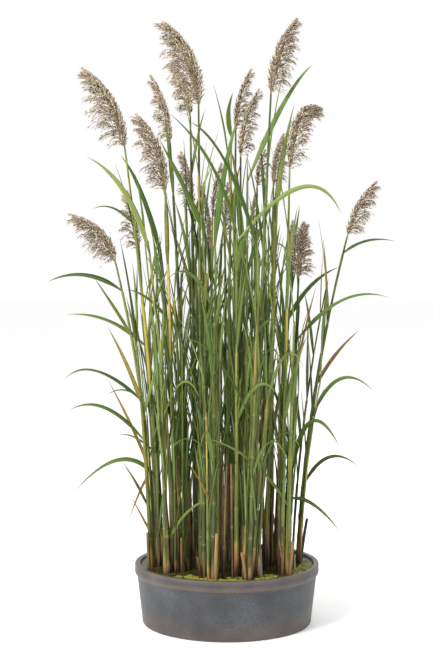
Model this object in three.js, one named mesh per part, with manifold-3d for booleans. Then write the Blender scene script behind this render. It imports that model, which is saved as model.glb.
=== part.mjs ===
// A clump of plume reed growing in shallow water over mud, in a plain wide pot.
// Millimetres, +Z up. The origin is the middle of the pot's underside, +X the clump's right, +Y its back.
// Heights in the tables are above the water. Headings are degrees from +X, counterclockwise from above.

import * as THREE from "three";
import { mergeVertices } from "three/addons/utils/BufferGeometryUtils.js";
import Module from "manifold-3d";

const wasm = await Module();
wasm.setup();

// Pot, mud and water
const POT_HEIGHT = 200;
const POT_FOOT_RADIUS = 284;
const POT_RIM_RADIUS = 308;
const POT_MOUTH_RADIUS = 290;
const POT_FLOOR = 18;
const POT_FLOOR_RADIUS = 270;
const POT_BAND_HEIGHT = 34;
const POT_BAND_STEP = 7;
const POT_BEVEL = 6;
const RIM_BEVEL = 3;
const POT_SIDES = 32;
const MUD_TOP = 158;
const WATER_TOP = 192;
const FIT_GAP = 0.3;
const FILL_GAP = 0.45;
const MERGE_DISTANCE = 0.0001;

// Reeds
const ROOT_DEPTH = 74;
const FOOT_RADIUS = 7.3;
const TILLER_FOOT_RADIUS = 6.2;
const PLUME_CULM_RADIUS = 3;
const LEAFY_TOP_RADIUS = 2.4;
const STUB_TOP_RADIUS = 4.6;
const CULM_SIDES = 5;
const CULM_STEPS = [0, 0.2, 0.45, 0.72, 1];
const TILLER_STEPS = [0, 0.3, 0.65, 1];
const STUB_STEPS = [0, 1];
const TILLER_BOW = 0.4;
const HOLE_CLEARANCE = 0.6;
const LEAF_WAIST = 0.2;
const LEAF_TAPER = 2.5;
const KEEL_DEPTH = 2.4;
const KEEL_TAPER = 0.5;
const ARCHED_STEPS = [0.17, 0.38, 0.6, 0.81];
const UPRIGHT_STEPS = [0.24, 0.66];
const SHOWN_ROLL = 55;

// Flowering reeds come first, in the order of their plumes, and the leafy ones follow.
// bow is how early a culm leaves the vertical, from 0 for late to 0.5 for a straight lean.
const REEDS = [
  { foot: [-216, -40], top: [-333, -80, 1380], bow: 0.25, tip: [-471, -90, 1641], plume: 120 },
  { foot: [-84, -150], top: [-93, -60, 1521], bow: 0.4, tip: [-216, -70, 1800], plume: 120 },
  { foot: [-126, -60], top: [-189, 30, 1407], bow: 0.3, tip: [-255, 40, 1635], plume: 64 },
  { foot: [-168, -110], top: [-201, -100, 1236], bow: 0.3, tip: [-294, -120, 1488], plume: 96 },
  { foot: [-110, 150], top: [-117, 150, 1182], bow: 0.4, tip: [-156, 160, 1389], plume: 62 },
  { foot: [-243, -10], top: [-366, -60, 1008], bow: 0.05, tip: [-516, -80, 1167], plume: 92 },
  { foot: [-234, 60], top: [-297, 30, 1050], bow: 0.3, tip: [-333, 40, 1248], plume: 75 },
  { foot: [20, 60], top: [30, 60, 1452], bow: 0.4, tip: [81, 60, 1656], plume: 60 },
  { foot: [45, -60], top: [45, -30, 1356], bow: 0.4, tip: [105, -30, 1578], plume: 66 },
  { foot: [84, -200], top: [141, -120, 1552], bow: 0.3, tip: [225, -130, 1794], plume: 87 },
  { foot: [180, -110], top: [202, -120, 1305], bow: 0.4, tip: [306, -130, 1503], plume: 90, rise: 1.05 },
  { foot: [150, 0], top: [156, 40, 1262], bow: 0.4, tip: [190, 50, 1440], plume: 66 },
  { foot: [90, 120], top: [105, 150, 1266], bow: 0.4, tip: [132, 160, 1396], plume: 50 },
  { foot: [240, 20], top: [402, 10, 1098], bow: 0.15, tip: [498, 10, 1278], plume: 75 },
  { foot: [204, -60], top: [237, -40, 960], bow: 0.3, tip: [253, -40, 1140], plume: 75, spread: 180 },
  { foot: [190, 90], top: [207, 100, 963], bow: 0.3, tip: [225, 110, 1152], plume: 52 },
  { foot: [-60, 90], top: [-48, 100, 1161], bow: 0.4, tip: [-18, 110, 1347], plume: 50 },
  { foot: [0, 230], top: [-5, 235, 1100], bow: 0.4, tip: [5, 240, 1289], plume: 48 },
  { foot: [80, 205], top: [90, 215, 1060], bow: 0.4, tip: [97, 225, 1242], plume: 45 },
  { foot: [-40, 200], top: [-54, 190, 1060], bow: 0.4, tip: [-87, 200, 1275], plume: 48 },
  { foot: [-100, 40], top: [-123, 80, 1500], bow: 0.4, tip: [-190, 95, 1690], plume: 70 },
  { foot: [-250, -70], top: [-300, -90, 783], bow: 0.3 },
  { foot: [-165, -130], top: [-255, -150, 1080], bow: 0.3 },
  { foot: [-150, 10], top: [-219, 20, 1040], bow: 0.35 },
  { foot: [60, -160], top: [66, -100, 1278], bow: 0.4 },
  { foot: [130, -60], top: [165, -40, 1190], bow: 0.4 },
  { foot: [30, -190], top: [30, -150, 1113], bow: 0.4 },
  { foot: [195, -160], top: [215, -170, 820], bow: 0.4 },
  { foot: [70, -240], top: [102, -215, 1030], bow: 0.4 },
  { foot: [-200, -140], top: [-215, -170, 760], bow: 0.4 },
  { foot: [-45, -240], top: [-40, -225, 900], bow: 0.4 },
  { foot: [-75, -210], top: [-69, -175, 1098], bow: 0.4 },
  { foot: [0, 20], top: [15, 10, 1431], bow: 0.4 },
  { foot: [-30, -120], top: [-39, -105, 1068], bow: 0.4 },
];

// Thinner young shoots, each grown from the foot of the reed with the number given
const TILLERS = [
  { reed: 5, foot: [-118, 157], top: [-170, 190, 980] },
  { reed: 18, foot: [10, 232], top: [35, 250, 900] },
  { reed: 19, foot: [88, 210], top: [140, 235, 950] },
  { reed: 20, foot: [-48, 206], top: [-100, 235, 880] },
  { reed: 13, foot: [98, 126], top: [160, 165, 1010] },
  { reed: 16, foot: [196, 97], top: [250, 140, 860] },
  { reed: 7, foot: [-238, 69], top: [-265, 110, 820] },
  { reed: 17, foot: [-68, 96], top: [-105, 95, 1010] },
  { reed: 12, foot: [159, 4], top: [215, 10, 930] },
  { reed: 8, foot: [25, 68], top: [60, 120, 1050] },
  { reed: 3, foot: [-134, -66], top: [-175, -45, 900] },
  { reed: 30, foot: [-190, -146], top: [-222, -205, 620] },
  { reed: 24, foot: [-158, 14], top: [-215, 85, 850] },
  { reed: 21, foot: [-104, 49], top: [-60, 20, 1000] },
  { reed: 29, foot: [78, -234], top: [150, -215, 780] },
];

// Short dry ends of last year's culms
const STUBS = [
  { reed: 14, foot: [248, 15], top: [270, 5, 150] },
  { reed: 31, foot: [-38, -246], top: [-34, -250, 150] },
  { reed: 28, foot: [203, -166], top: [212, -180, 110] },
  { reed: 22, foot: [-258, -74], top: [-262, -85, 120] },
  { reed: 29, foot: [60, -243], top: [45, -252, 90] },
  { reed: 32, foot: [-83, -215], top: [-95, -225, 70] },
];

// The leaves that stand out of the clump, by reed: collar height, heading,
// knee out and up from the collar, tip out and up from the collar, blade width
const SHOWN_LEAVES = {
  1: [
    [1128, 180, 72, 92, 141, 54, 9],
    [378, 180, 75, 75, 126, 60, 8],
    [288, 183, 109, 161, 284, -48, 17],
  ],
  2: [[1290, 215, 22, 130, 75, 268, 15]],
  4: [[813, 200, 70, 99, 150, 111, 14]],
  6: [
    [915, 180, 125, 92, 249, 29, 17],
    [770, 178, 62, 100, 120, 187, 15],
    [558, 180, 60, 50, 115, 12, 8],
    [318, 180, 50, 140, 141, 306, 12],
    [84, 180, 35, 70, 78, 147, 9],
  ],
  7: [
    [726, 178, 125, 122, 268, 108, 17],
    [516, 180, 202, 202, 292, 96, 14],
    [300, 185, 25, 10, 95, -190, 12],
  ],
  14: [
    [1040, 0, 76, 64, 174, 40, 13],
    [800, 200, 0, 120, 15, 290, 18],
    [597, 0, 56, 111, 143, 186, 17],
    [483, 355, 85, 225, 210, 95, 15],
    [258, 0, 80, 165, 192, 60, 15],
  ],
  15: [
    [747, 355, 152, 202, 306, 147, 17],
    [600, 345, 30, 170, 80, 345, 13],
    [285, 350, 49, 341, 166, 111, 22],
    [228, 335, 79, 21, 180, -102, 14],
  ],
  16: [[798, 355, 67, 158, 184, 198, 17]],
  22: [
    [743, 180, 20, 180, 56, 351, 14],
    [543, 180, 38, 125, 112, 258, 15],
    [423, 182, 138, 172, 250, 99, 14],
    [198, 180, 40, 95, 88, 156, 11],
  ],
  23: [[1038, 180, 66, 248, 204, 312, 21]],
  24: [[1008, 185, 61, 264, 139, 360, 20]],
  25: [[1270, 2, 126, 311, 213, 382, 20]],
  26: [[1180, 355, 15, 190, 57, 350, 21]],
  27: [
    [1105, 190, 64, 257, 225, 384, 20],
    [1074, 340, 255, 300, 348, 84, 21],
  ],
  28: [[216, 211, 115, 192, 287, 240, 15]],
  29: [
    [1023, 195, 102, 371, 230, 426, 26],
    [483, 205, 119, 280, 238, 291, 14],
  ],
  30: [
    [498, 335, 75, 215, 135, 75, 13],
    [81, 330, 60, 142, 150, 165, 16],
  ],
  31: [[225, 200, 38, 85, 90, 162, 12]],
  32: [[1090, 188, 60, 150, 155, 321, 23]],
  33: [[1425, 180, 25, 75, -6, 150, 22]],
  34: [[1060, 355, 15, 220, 78, 435, 26]],
};

// The other leaves alternate up each shoot, and swing round it to where they clear their neighbours.
const LEAF_SEED = 20611;
const FIRST_COLLAR = 0.3;
const LAST_COLLAR = 0.9;
const COLLAR_SPACING = [190, 270];
const UPRIGHT_OUT = [45, 110];
const UPRIGHT_UP = [220, 330];
const ARCHED_OUT = [180, 260];
const ARCHED_SHARE = 0.45;
const ARCHED_FROM_RADIUS = 120;
const SIDE_LIMIT = 0.6;
const UPRIGHT_KNEE = [0.35, 0.6];
const ARCHED_KNEE = [0.5, 0.75];
const ARCHED_DROP = 0.35;
const RULED_WIDTH = [12, 18];
const RULED_ROLL = 60;
const SHOWN_ZONE = 45;
const SPEAR = { width: 13, roll: 40, upright: true, knee: [10, 160], tip: [45, 290] };
const SPEAR_DROP = 14;
const CROWN_SHARE = 0.8;
const SWINGS = [0, 25, -25, 50, -50, 75, -75, 100, -100];
const SHOWN_SWINGS = [0, 8, -8, 16, -16, 24, -24, 32, -32];
const LEAF_SAMPLES = 30;
const LEAF_CLEARANCE = 2;
const CLEAR_FROM = 3;

// Plumes
const PLUME_RISE = 0.55;
const PLUME_BALLS = { shares: [0.06, 0.18, 0.3, 0.42, 0.54, 0.66, 0.78, 0.9, 1], least: 8, girth: 0.62 };
const NECK_SHARE = 0.015;
const PLUME_PROFILE = [[0, 0.35], [0.12, 0.8], [0.3, 1], [0.6, 0.78], [0.85, 0.42], [1, 0]];
const CORE_STEPS = [0, 0.1, 0.3, 0.52, 0.72, 0.89];
const CORE_SIDES = 5;
const CORE_BASE_RADIUS = 3;
const CORE_SAG = 0.2;
const CORE_SAG_FROM = 0.2;
const CORE_DEPTH = 0.28;
const CORE_BREADTH = 0.24;
const SPRAY_SPREAD = 100;
const SPRAY_STEPS = [0.03, 0.9];
const SPRAY_LENGTH = [0.88, 0.4];
const SPRAY_KNEE = { along: 0.42, out: 0.42 };
const SPRAY_TIP = { along: 0.72, out: 0.8 };
const SPRAY_SAG = [0.5, 0.05];
const SPRAY_KNEE_RADIUS = [0.05, 0.1];
const SPRAY_COUNTS = [[60, 6], [85, 9], [Infinity, 14]];
const GOLDEN_TURN = 0.618034;

// Duckweed
const FROND_RADIUS = 20;
const FROND_SPACING = 31;
const FROND_THICKNESS = 1.2;
const FROND_SIDES = 5;
const FROND_TURN = 47;
const FROND_LIFT = 0.35;
const FROND_STAGGER = 0.25;
const FRONT_MAT = { from: -128, to: -52, radii: [236, 266] };
const RIGHT_MAT = { from: -38, to: 8, radii: [266] };

const radians = THREE.MathUtils.degToRad;
const UP = new THREE.Vector3(0, 0, 1);

// An even draw between 0 and 1, the same on every run
function makeDraw(seed) {
  let state = seed;
  return () => {
    state = (state * 48271) % 2147483647;
    return state / 2147483647;
  };
}

const between = ([low, high], share) => low + (high - low) * share;

function solidOf(geometry) {
  geometry.deleteAttribute("normal");
  geometry.deleteAttribute("uv");
  const merged = mergeVertices(geometry, MERGE_DISTANCE);
  const vertProperties = new Float32Array(merged.attributes.position.array);
  const triVerts = new Uint32Array(merged.index.array);
  return new wasm.Manifold(new wasm.Mesh({ numProp: 3, vertProperties, triVerts }));
}

function meshOf(name, solid, material) {
  const { vertProperties, triVerts } = solid.getMesh();
  const geometry = new THREE.BufferGeometry();
  geometry.setAttribute("position", new THREE.BufferAttribute(vertProperties, 3));
  geometry.setIndex(new THREE.BufferAttribute(triVerts, 1));
  geometry.computeVertexNormals();
  const mesh = new THREE.Mesh(geometry, material);
  mesh.name = name;
  return mesh;
}

// A closed skin over rings of points, each counterclockwise seen from the last one.
// An end ring may be a single point.
function loft(rings) {
  const faces = [];
  const sides = rings[1].length;
  let below = 0;
  for (let ring = 0; ring + 1 < rings.length; ring += 1) {
    const above = below + rings[ring].length;
    for (let side = 0; side < sides; side += 1) {
      const next = (side + 1) % sides;
      if (rings[ring].length === 1) faces.push(below, above + next, above + side);
      else if (rings[ring + 1].length === 1) faces.push(below + side, below + next, above);
      else faces.push(below + side, below + next, above + next, below + side, above + next, above + side);
    }
    below = above;
  }
  for (let side = 1; side + 1 < rings[0].length; side += 1) faces.push(0, side + 1, side);
  for (let side = 1; side + 1 < rings.at(-1).length; side += 1) {
    faces.push(below, below + side, below + side + 1);
  }
  const geometry = new THREE.BufferGeometry().setFromPoints(rings.flat());
  geometry.setIndex(faces);
  return solidOf(geometry);
}

function levelRing(center, radius, sides, turn = 0) {
  const corners = [];
  for (let side = 0; side < sides; side += 1) {
    const angle = turn + (2 * Math.PI * side) / sides;
    corners.push(new THREE.Vector3(radius * Math.cos(angle), radius * Math.sin(angle), 0).add(center));
  }
  return corners;
}

function lathe(profile, sides) {
  const points = profile.map(([radius, height]) => new THREE.Vector2(radius, height));
  const geometry = new THREE.LatheGeometry(points, sides);
  geometry.rotateX(Math.PI / 2);
  return solidOf(geometry);
}

// Shoots: reeds, tillers and stubs share one form, which stands plumb in the mud and water and then leans.
const REED = { steps: CULM_STEPS, footRadius: FOOT_RADIUS };
const YOUNG = { footRadius: TILLER_FOOT_RADIUS, bow: TILLER_BOW };
const TILLER = { ...YOUNG, steps: TILLER_STEPS, topRadius: LEAFY_TOP_RADIUS };
const STUB = { ...YOUNG, steps: STUB_STEPS, topRadius: STUB_TOP_RADIUS };

const reeds = REEDS.map((entry, index) => {
  const topRadius = entry.tip ? PLUME_CULM_RADIUS : LEAFY_TOP_RADIUS;
  return { ...REED, ...entry, topRadius, number: index + 1 };
});
const tillers = TILLERS.map((entry) => ({ ...TILLER, ...entry, number: entry.reed }));
const stubs = STUBS.map((entry) => ({ ...STUB, ...entry, number: entry.reed }));
const shoots = [...reeds, ...tillers, ...stubs];

function shootPoint(shoot, height) {
  const share = THREE.MathUtils.clamp(height / shoot.top[2], 0, 1);
  const lean = 2 * shoot.bow * share * (1 - share) + share * share;
  const x = shoot.foot[0] + (shoot.top[0] - shoot.foot[0]) * lean;
  const y = shoot.foot[1] + (shoot.top[1] - shoot.foot[1]) * lean;
  return new THREE.Vector3(x, y, WATER_TOP + height);
}

const shootRadius = (shoot, height) =>
  between([shoot.footRadius, shoot.topRadius], THREE.MathUtils.clamp(height / shoot.top[2], 0, 1));

function culmSolid(shoot) {
  const heights = [-ROOT_DEPTH, ...shoot.steps.map((share) => share * shoot.top[2])];
  return loft(heights.map((height) =>
    levelRing(shootPoint(shoot, height), shootRadius(shoot, height), CULM_SIDES)));
}

// The plain holes that the shoots stand in, from a level up
function footHoles(bottom, height) {
  return wasm.Manifold.union(shoots.map((shoot) => {
    const low = new THREE.Vector3(shoot.foot[0], shoot.foot[1], bottom);
    const high = new THREE.Vector3(shoot.foot[0], shoot.foot[1], bottom + height);
    const radius = shoot.footRadius + HOLE_CLEARANCE;
    return loft([levelRing(low, radius, CULM_SIDES), levelRing(high, radius, CULM_SIDES)]);
  }));
}

// Plumes
function plumeAxis(reed) {
  const base = shootPoint(reed, reed.top[2]);
  base.z += FIT_GAP;
  const along = base.clone().sub(shootPoint(reed, (1 - NECK_SHARE) * reed.top[2])).normalize();
  const tip = new THREE.Vector3(reed.tip[0], reed.tip[1], WATER_TOP + reed.tip[2]);
  const rise = (reed.rise ?? PLUME_RISE) * tip.distanceTo(base);
  return new THREE.QuadraticBezierCurve3(base, base.clone().addScaledVector(along, rise), tip);
}

function profileWidth(share) {
  const end = PLUME_PROFILE.findIndex(([at]) => at >= share);
  if (end <= 0) return PLUME_PROFILE[0][1];
  const [low, lowWidth] = PLUME_PROFILE[end - 1];
  const [high, highWidth] = PLUME_PROFILE[end];
  return between([lowWidth, highWidth], (share - low) / (high - low));
}

// The plume's axis point, its direction, the way it droops and the way across it
function plumeFrame(reed, axis, share) {
  const { v0: base, v2: tip } = axis;
  const across = new THREE.Vector3(base.y - tip.y, tip.x - base.x, 0).normalize();
  const along = axis.getTangent(share);
  const droop = across.clone().cross(along).normalize();
  const width = reed.plume * profileWidth(share);
  const sag = CORE_SAG * width * Math.min(1, share / CORE_SAG_FROM);
  const center = axis.getPoint(share).addScaledVector(droop, sag);
  return { along, droop, across: along.clone().cross(droop), width, center };
}

function coreRing(frame) {
  const corners = [];
  for (let side = 0; side < CORE_SIDES; side += 1) {
    const angle = (2 * Math.PI * side) / CORE_SIDES;
    const corner = frame.center.clone();
    corner.addScaledVector(frame.droop, CORE_DEPTH * frame.width * Math.cos(angle));
    corner.addScaledVector(frame.across, CORE_BREADTH * frame.width * Math.sin(angle));
    corners.push(corner);
  }
  return corners;
}

// A spray is a three-sided spindle that leaves the core's middle, climbs along it and nods at its tip.
function spraySolid(reed, axis, index, count) {
  const share = between(SPRAY_STEPS, (index + 0.5) / count);
  const { along, droop, across, center } = plumeFrame(reed, axis, share);
  const turn = radians((reed.spread ?? SPRAY_SPREAD) * (2 * ((0.5 + index * GOLDEN_TURN) % 1) - 1));
  const out = droop.clone().multiplyScalar(Math.cos(turn)).addScaledVector(across, Math.sin(turn));
  const length = reed.plume * between(SPRAY_LENGTH, share);
  const place = (step) =>
    center.clone().addScaledVector(along, step.along * length).addScaledVector(out, step.out * length);
  const knee = place(SPRAY_KNEE);
  const tip = place(SPRAY_TIP).addScaledVector(UP, -between(SPRAY_SAG, share) * length);
  const side = along.clone().cross(out).normalize();
  const over = tip.clone().sub(center).cross(side).normalize();
  const radius = reed.plume * between(SPRAY_KNEE_RADIUS, profileWidth(share));
  const middle = [0, 1, 2].map((corner) => {
    const angle = (2 * Math.PI * corner) / 3;
    const point = knee.clone().addScaledVector(side, radius * Math.cos(angle));
    return point.addScaledVector(over, radius * Math.sin(angle));
  });
  return loft([[center], middle, [tip]]);
}

function plumeSolid(reed) {
  const axis = plumeAxis(reed);
  const rings = CORE_STEPS.map((share) => (share === 0
    ? levelRing(axis.v0, CORE_BASE_RADIUS, CORE_SIDES)
    : coreRing(plumeFrame(reed, axis, share))));
  const core = loft([...rings, [axis.v2]]);
  const sprays = SPRAY_COUNTS.find(([width]) => reed.plume < width)[1];
  const parts = [core];
  for (let index = 0; index < sprays; index += 1) parts.push(spraySolid(reed, axis, index, sprays));
  return wasm.Manifold.union(parts);
}

// Leaves: a blade springs from the culm's middle at its collar and arches over a knee to its tip.
function leafCurve(leaf) {
  const heading = radians(leaf.heading);
  const collar = shootPoint(leaf.shoot, leaf.collar);
  const place = ([out, up]) =>
    new THREE.Vector3(out * Math.cos(heading), out * Math.sin(heading), up).add(collar);
  return new THREE.QuadraticBezierCurve3(collar, place(leaf.knee), place(leaf.tip));
}

const halfBlade = (leaf, share) =>
  (leaf.width / 2) * (1 - share ** LEAF_TAPER) * Math.min(1, share / LEAF_WAIST);

// The blade's section has a flat upper face and a keel along the midrib below it.
function leafSolid(leaf) {
  const curve = leafCurve(leaf);
  const heading = radians(leaf.heading);
  const level = new THREE.Vector3(-Math.sin(heading), Math.cos(heading), 0);
  const roll = radians(leaf.roll);
  const rings = (leaf.upright ? UPRIGHT_STEPS : ARCHED_STEPS).map((share) => {
    const center = curve.getPoint(share);
    const along = curve.getTangent(share);
    const edge = level.clone().multiplyScalar(Math.cos(roll));
    edge.addScaledVector(along.clone().cross(level), Math.sin(roll));
    const face = along.clone().cross(edge);
    const half = halfBlade(leaf, share);
    return [
      center.clone().addScaledVector(edge, half),
      center.clone().addScaledVector(edge, -half),
      center.clone().addScaledVector(face, -KEEL_DEPTH * (1 - KEEL_TAPER * share)),
    ];
  });
  return loft([[curve.v0], ...rings, [curve.v2]]);
}

// Placed leaves and plumes as rows of balls, which the next leaf keeps clear of
const placed = [];
const plumeBalls = reeds.filter((reed) => reed.tip).flatMap((reed) => {
  const axis = plumeAxis(reed);
  return PLUME_BALLS.shares.map((share) => {
    const { center, width } = plumeFrame(reed, axis, share);
    return { center, radius: PLUME_BALLS.least + PLUME_BALLS.girth * width };
  });
});

function leafBalls(leaf) {
  const curve = leafCurve(leaf);
  const balls = [];
  for (let index = 1; index <= LEAF_SAMPLES; index += 1) {
    const share = index / LEAF_SAMPLES;
    balls.push({ center: curve.getPoint(share), radius: halfBlade(leaf, share) + LEAF_CLEARANCE });
  }
  return balls;
}

function isClear(leaf, balls) {
  return balls.slice(CLEAR_FROM).every(({ center, radius }) => {
    const height = center.z - WATER_TOP;
    const meetsShoot = shoots.some((shoot) => {
      if (shoot === leaf.shoot || height > shoot.top[2] + radius || height < 0) return false;
      const culm = shootPoint(shoot, height);
      const gap = Math.hypot(culm.x - center.x, culm.y - center.y);
      return gap < radius + shootRadius(shoot, height);
    });
    const meetsBall = (ball) => ball.center.distanceTo(center) < radius + ball.radius;
    return !meetsShoot && !plumeBalls.some(meetsBall) && !placed.some(meetsBall);
  });
}

// Turns the leaf to the first heading that is clear and keeps it, or gives it up
function settle(leaf, swings) {
  for (const swing of swings) {
    const tried = { ...leaf, heading: leaf.heading + swing };
    const balls = leafBalls(tried);
    if (isClear(tried, balls)) {
      placed.push(...balls);
      return [tried];
    }
  }
  return [];
}

const shownRows = (shoot) => (reeds.includes(shoot) ? SHOWN_LEAVES[shoot.number] ?? [] : []);

function shownLeaves() {
  return reeds.flatMap((shoot) => shownRows(shoot).flatMap((row) => {
    const [collar, heading, kneeOut, kneeUp, tipOut, tipUp, width] = row;
    const roll = Math.cos(radians(heading)) < 0 ? -SHOWN_ROLL : SHOWN_ROLL;
    const leaf = { shoot, collar, heading, knee: [kneeOut, kneeUp], tip: [tipOut, tipUp], width, roll };
    return settle(leaf, SHOWN_SWINGS);
  }));
}

// Upright blades, and on the front and back of the clump some that arch outward
function ruledLeaf(shoot, collar, heading, draw) {
  const arches = draw() < ARCHED_SHARE;
  const share = draw();
  const width = between(RULED_WIDTH, draw());
  const roll = RULED_ROLL * (2 * draw() - 1);
  const up = between(UPRIGHT_UP, draw());
  const leaf = { shoot, collar, width, roll };
  const outward = Math.atan2(shoot.top[1], shoot.top[0]);
  const isEdge = Math.hypot(...shoot.foot) > ARCHED_FROM_RADIUS && Math.abs(Math.cos(outward)) < SIDE_LIMIT;
  if (arches && isEdge) {
    const out = between(ARCHED_OUT, share);
    const knee = [ARCHED_KNEE[0] * out, ARCHED_KNEE[1] * up];
    return { ...leaf, heading: THREE.MathUtils.radToDeg(outward), knee, tip: [out, ARCHED_DROP * up] };
  }
  const out = between(UPRIGHT_OUT, share);
  const knee = [UPRIGHT_KNEE[0] * out, UPRIGHT_KNEE[1] * up];
  return { ...leaf, heading, upright: true, knee, tip: [out, up] };
}

function ruledLeaves() {
  const draw = makeDraw(LEAF_SEED);
  const ruled = [];
  for (const shoot of [...reeds, ...tillers]) {
    const height = shoot.top[2];
    const shown = shownRows(shoot);
    let heading = 360 * draw();
    let collar = FIRST_COLLAR * height + COLLAR_SPACING[0] * draw();
    while (collar < LAST_COLLAR * height) {
      const leaf = ruledLeaf(shoot, collar, heading, draw);
      const isTaken = shown.some((row) => Math.abs(row[0] - collar) < SHOWN_ZONE);
      if (!isTaken) ruled.push(...settle(leaf, SWINGS));
      heading += 180;
      collar += between(COLLAR_SPACING, draw());
    }
    const hasCrown = shoot.tip || shown.some((row) => row[0] > CROWN_SHARE * height);
    const spear = { ...SPEAR, shoot, collar: height - SPEAR_DROP, heading };
    if (!hasCrown) ruled.push(...settle(spear, SWINGS));
  }
  return ruled;
}

const leaves = [...shownLeaves(), ...ruledLeaves()];

function reedSolid(reed) {
  const parts = shoots.filter((shoot) => shoot.number === reed.number).map(culmSolid);
  parts.push(...leaves.filter((leaf) => leaf.shoot.number === reed.number).map(leafSolid));
  return wasm.Manifold.union(parts);
}

function potSolid() {
  const slope = (POT_RIM_RADIUS - POT_BAND_STEP - POT_FOOT_RADIUS) / POT_HEIGHT;
  const wallAt = (height) => POT_FOOT_RADIUS + slope * height;
  const band = POT_HEIGHT - POT_BAND_HEIGHT;
  return lathe([
    [0, 0],
    [POT_FOOT_RADIUS - POT_BEVEL, 0],
    [wallAt(POT_BEVEL), POT_BEVEL],
    [wallAt(band - POT_BAND_STEP), band - POT_BAND_STEP],
    [POT_RIM_RADIUS, band],
    [POT_RIM_RADIUS, POT_HEIGHT - RIM_BEVEL],
    [POT_RIM_RADIUS - RIM_BEVEL, POT_HEIGHT],
    [POT_MOUTH_RADIUS + RIM_BEVEL, POT_HEIGHT],
    [POT_MOUTH_RADIUS, POT_HEIGHT - RIM_BEVEL],
    [POT_FLOOR_RADIUS, POT_FLOOR],
    [0, POT_FLOOR],
  ], POT_SIDES);
}

// A disc of what fills the pot, a fit gap clear of its cone-shaped inside
function fillSolid(bottom, top) {
  const slope = (POT_MOUTH_RADIUS - POT_FLOOR_RADIUS) / (POT_HEIGHT - RIM_BEVEL - POT_FLOOR);
  const insideAt = (height) => POT_FLOOR_RADIUS + slope * (height - POT_FLOOR) - FILL_GAP;
  return lathe([[0, bottom], [insideAt(bottom), bottom], [insideAt(top), top], [0, top]], POT_SIDES);
}

// Overlapping fronds in rows round part of the pot, at three levels like shingles
function matSolid(mat) {
  const fronds = mat.radii.flatMap((radius, row) => {
    const count = Math.round((radians(mat.to - mat.from) * radius) / FROND_SPACING);
    return Array.from({ length: count }, (_, index) => {
      const share = (index + 0.5 + FROND_STAGGER * (row % 2)) / count;
      const azimuth = radians(between([mat.from, mat.to], share));
      const low = new THREE.Vector3(radius * Math.cos(azimuth), radius * Math.sin(azimuth), 0);
      low.z = WATER_TOP + FIT_GAP + FROND_LIFT * ((index + row) % 3);
      const high = low.clone().addScaledVector(UP, FROND_THICKNESS);
      const turn = radians(FROND_TURN * index);
      return loft([low, high].map((center) => levelRing(center, FROND_RADIUS, FROND_SIDES, turn)));
    });
  });
  // The holes round the feet can cut off a frond's corner, which is dropped
  const mats = wasm.Manifold.union(fronds).subtract(footHoles(MUD_TOP, POT_HEIGHT)).decompose();
  return mats.reduce((largest, body) => (body.volume() > largest.volume() ? body : largest));
}

const GLAZE = new THREE.MeshStandardMaterial({ color: 0x3f4143, roughness: 0.6, metalness: 0 });
const MUD = new THREE.MeshStandardMaterial({ color: 0x2e2418, roughness: 0.9, metalness: 0 });
const POND_WATER = new THREE.MeshStandardMaterial({ color: 0x3c3a1c, roughness: 0.08, metalness: 0 });
const DUCKWEED = new THREE.MeshStandardMaterial({ color: 0x939b34, roughness: 0.6, metalness: 0 });
const REED_GREEN = new THREE.MeshStandardMaterial({ color: 0x4f7a35, roughness: 0.55, metalness: 0 });
const PLUME_TAUPE = new THREE.MeshStandardMaterial({ color: 0xa08b78, roughness: 0.9, metalness: 0 });

const clump = new THREE.Group();
clump.name = "potted_plume_reed";
clump.add(meshOf("pot", potSolid(), GLAZE));
const rootBottom = WATER_TOP - ROOT_DEPTH - FIT_GAP;
const mud = fillSolid(POT_FLOOR + FIT_GAP, MUD_TOP).subtract(footHoles(rootBottom, ROOT_DEPTH));
clump.add(meshOf("mud", mud, MUD));
const water = fillSolid(MUD_TOP + FIT_GAP, WATER_TOP).subtract(footHoles(rootBottom, POT_HEIGHT));
clump.add(meshOf("water", water, POND_WATER));
clump.add(meshOf("duckweed_front", matSolid(FRONT_MAT), DUCKWEED));
clump.add(meshOf("duckweed_right", matSolid(RIGHT_MAT), DUCKWEED));
for (const reed of reeds) {
  const number = String(reed.number).padStart(2, "0");
  clump.add(meshOf(`reed_${number}`, reedSolid(reed), REED_GREEN));
  if (reed.tip) clump.add(meshOf(`plume_${number}`, plumeSolid(reed), PLUME_TAUPE));
}

export default clump;
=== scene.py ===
import math

import bpy
import numpy as np
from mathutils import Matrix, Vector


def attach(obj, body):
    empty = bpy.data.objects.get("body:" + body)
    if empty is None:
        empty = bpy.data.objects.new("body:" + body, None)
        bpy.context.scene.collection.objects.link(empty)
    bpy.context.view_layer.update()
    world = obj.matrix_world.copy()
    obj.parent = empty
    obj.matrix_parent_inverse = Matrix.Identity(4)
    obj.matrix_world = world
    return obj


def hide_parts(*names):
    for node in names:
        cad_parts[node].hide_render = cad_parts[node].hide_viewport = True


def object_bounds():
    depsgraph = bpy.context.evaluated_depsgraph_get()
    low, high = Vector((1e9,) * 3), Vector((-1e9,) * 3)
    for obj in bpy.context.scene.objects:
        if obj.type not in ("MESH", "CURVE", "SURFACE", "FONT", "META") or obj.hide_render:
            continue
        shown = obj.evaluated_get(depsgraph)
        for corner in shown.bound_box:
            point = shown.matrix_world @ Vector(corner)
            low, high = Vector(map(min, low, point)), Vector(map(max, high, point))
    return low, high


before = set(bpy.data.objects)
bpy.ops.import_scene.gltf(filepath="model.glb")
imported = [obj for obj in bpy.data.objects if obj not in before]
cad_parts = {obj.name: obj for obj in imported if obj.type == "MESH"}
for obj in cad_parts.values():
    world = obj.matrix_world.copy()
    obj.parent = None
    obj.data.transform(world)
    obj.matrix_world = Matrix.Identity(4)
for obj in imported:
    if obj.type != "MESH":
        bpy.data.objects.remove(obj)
cad_box = [list(corner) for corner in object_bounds()]


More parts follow.
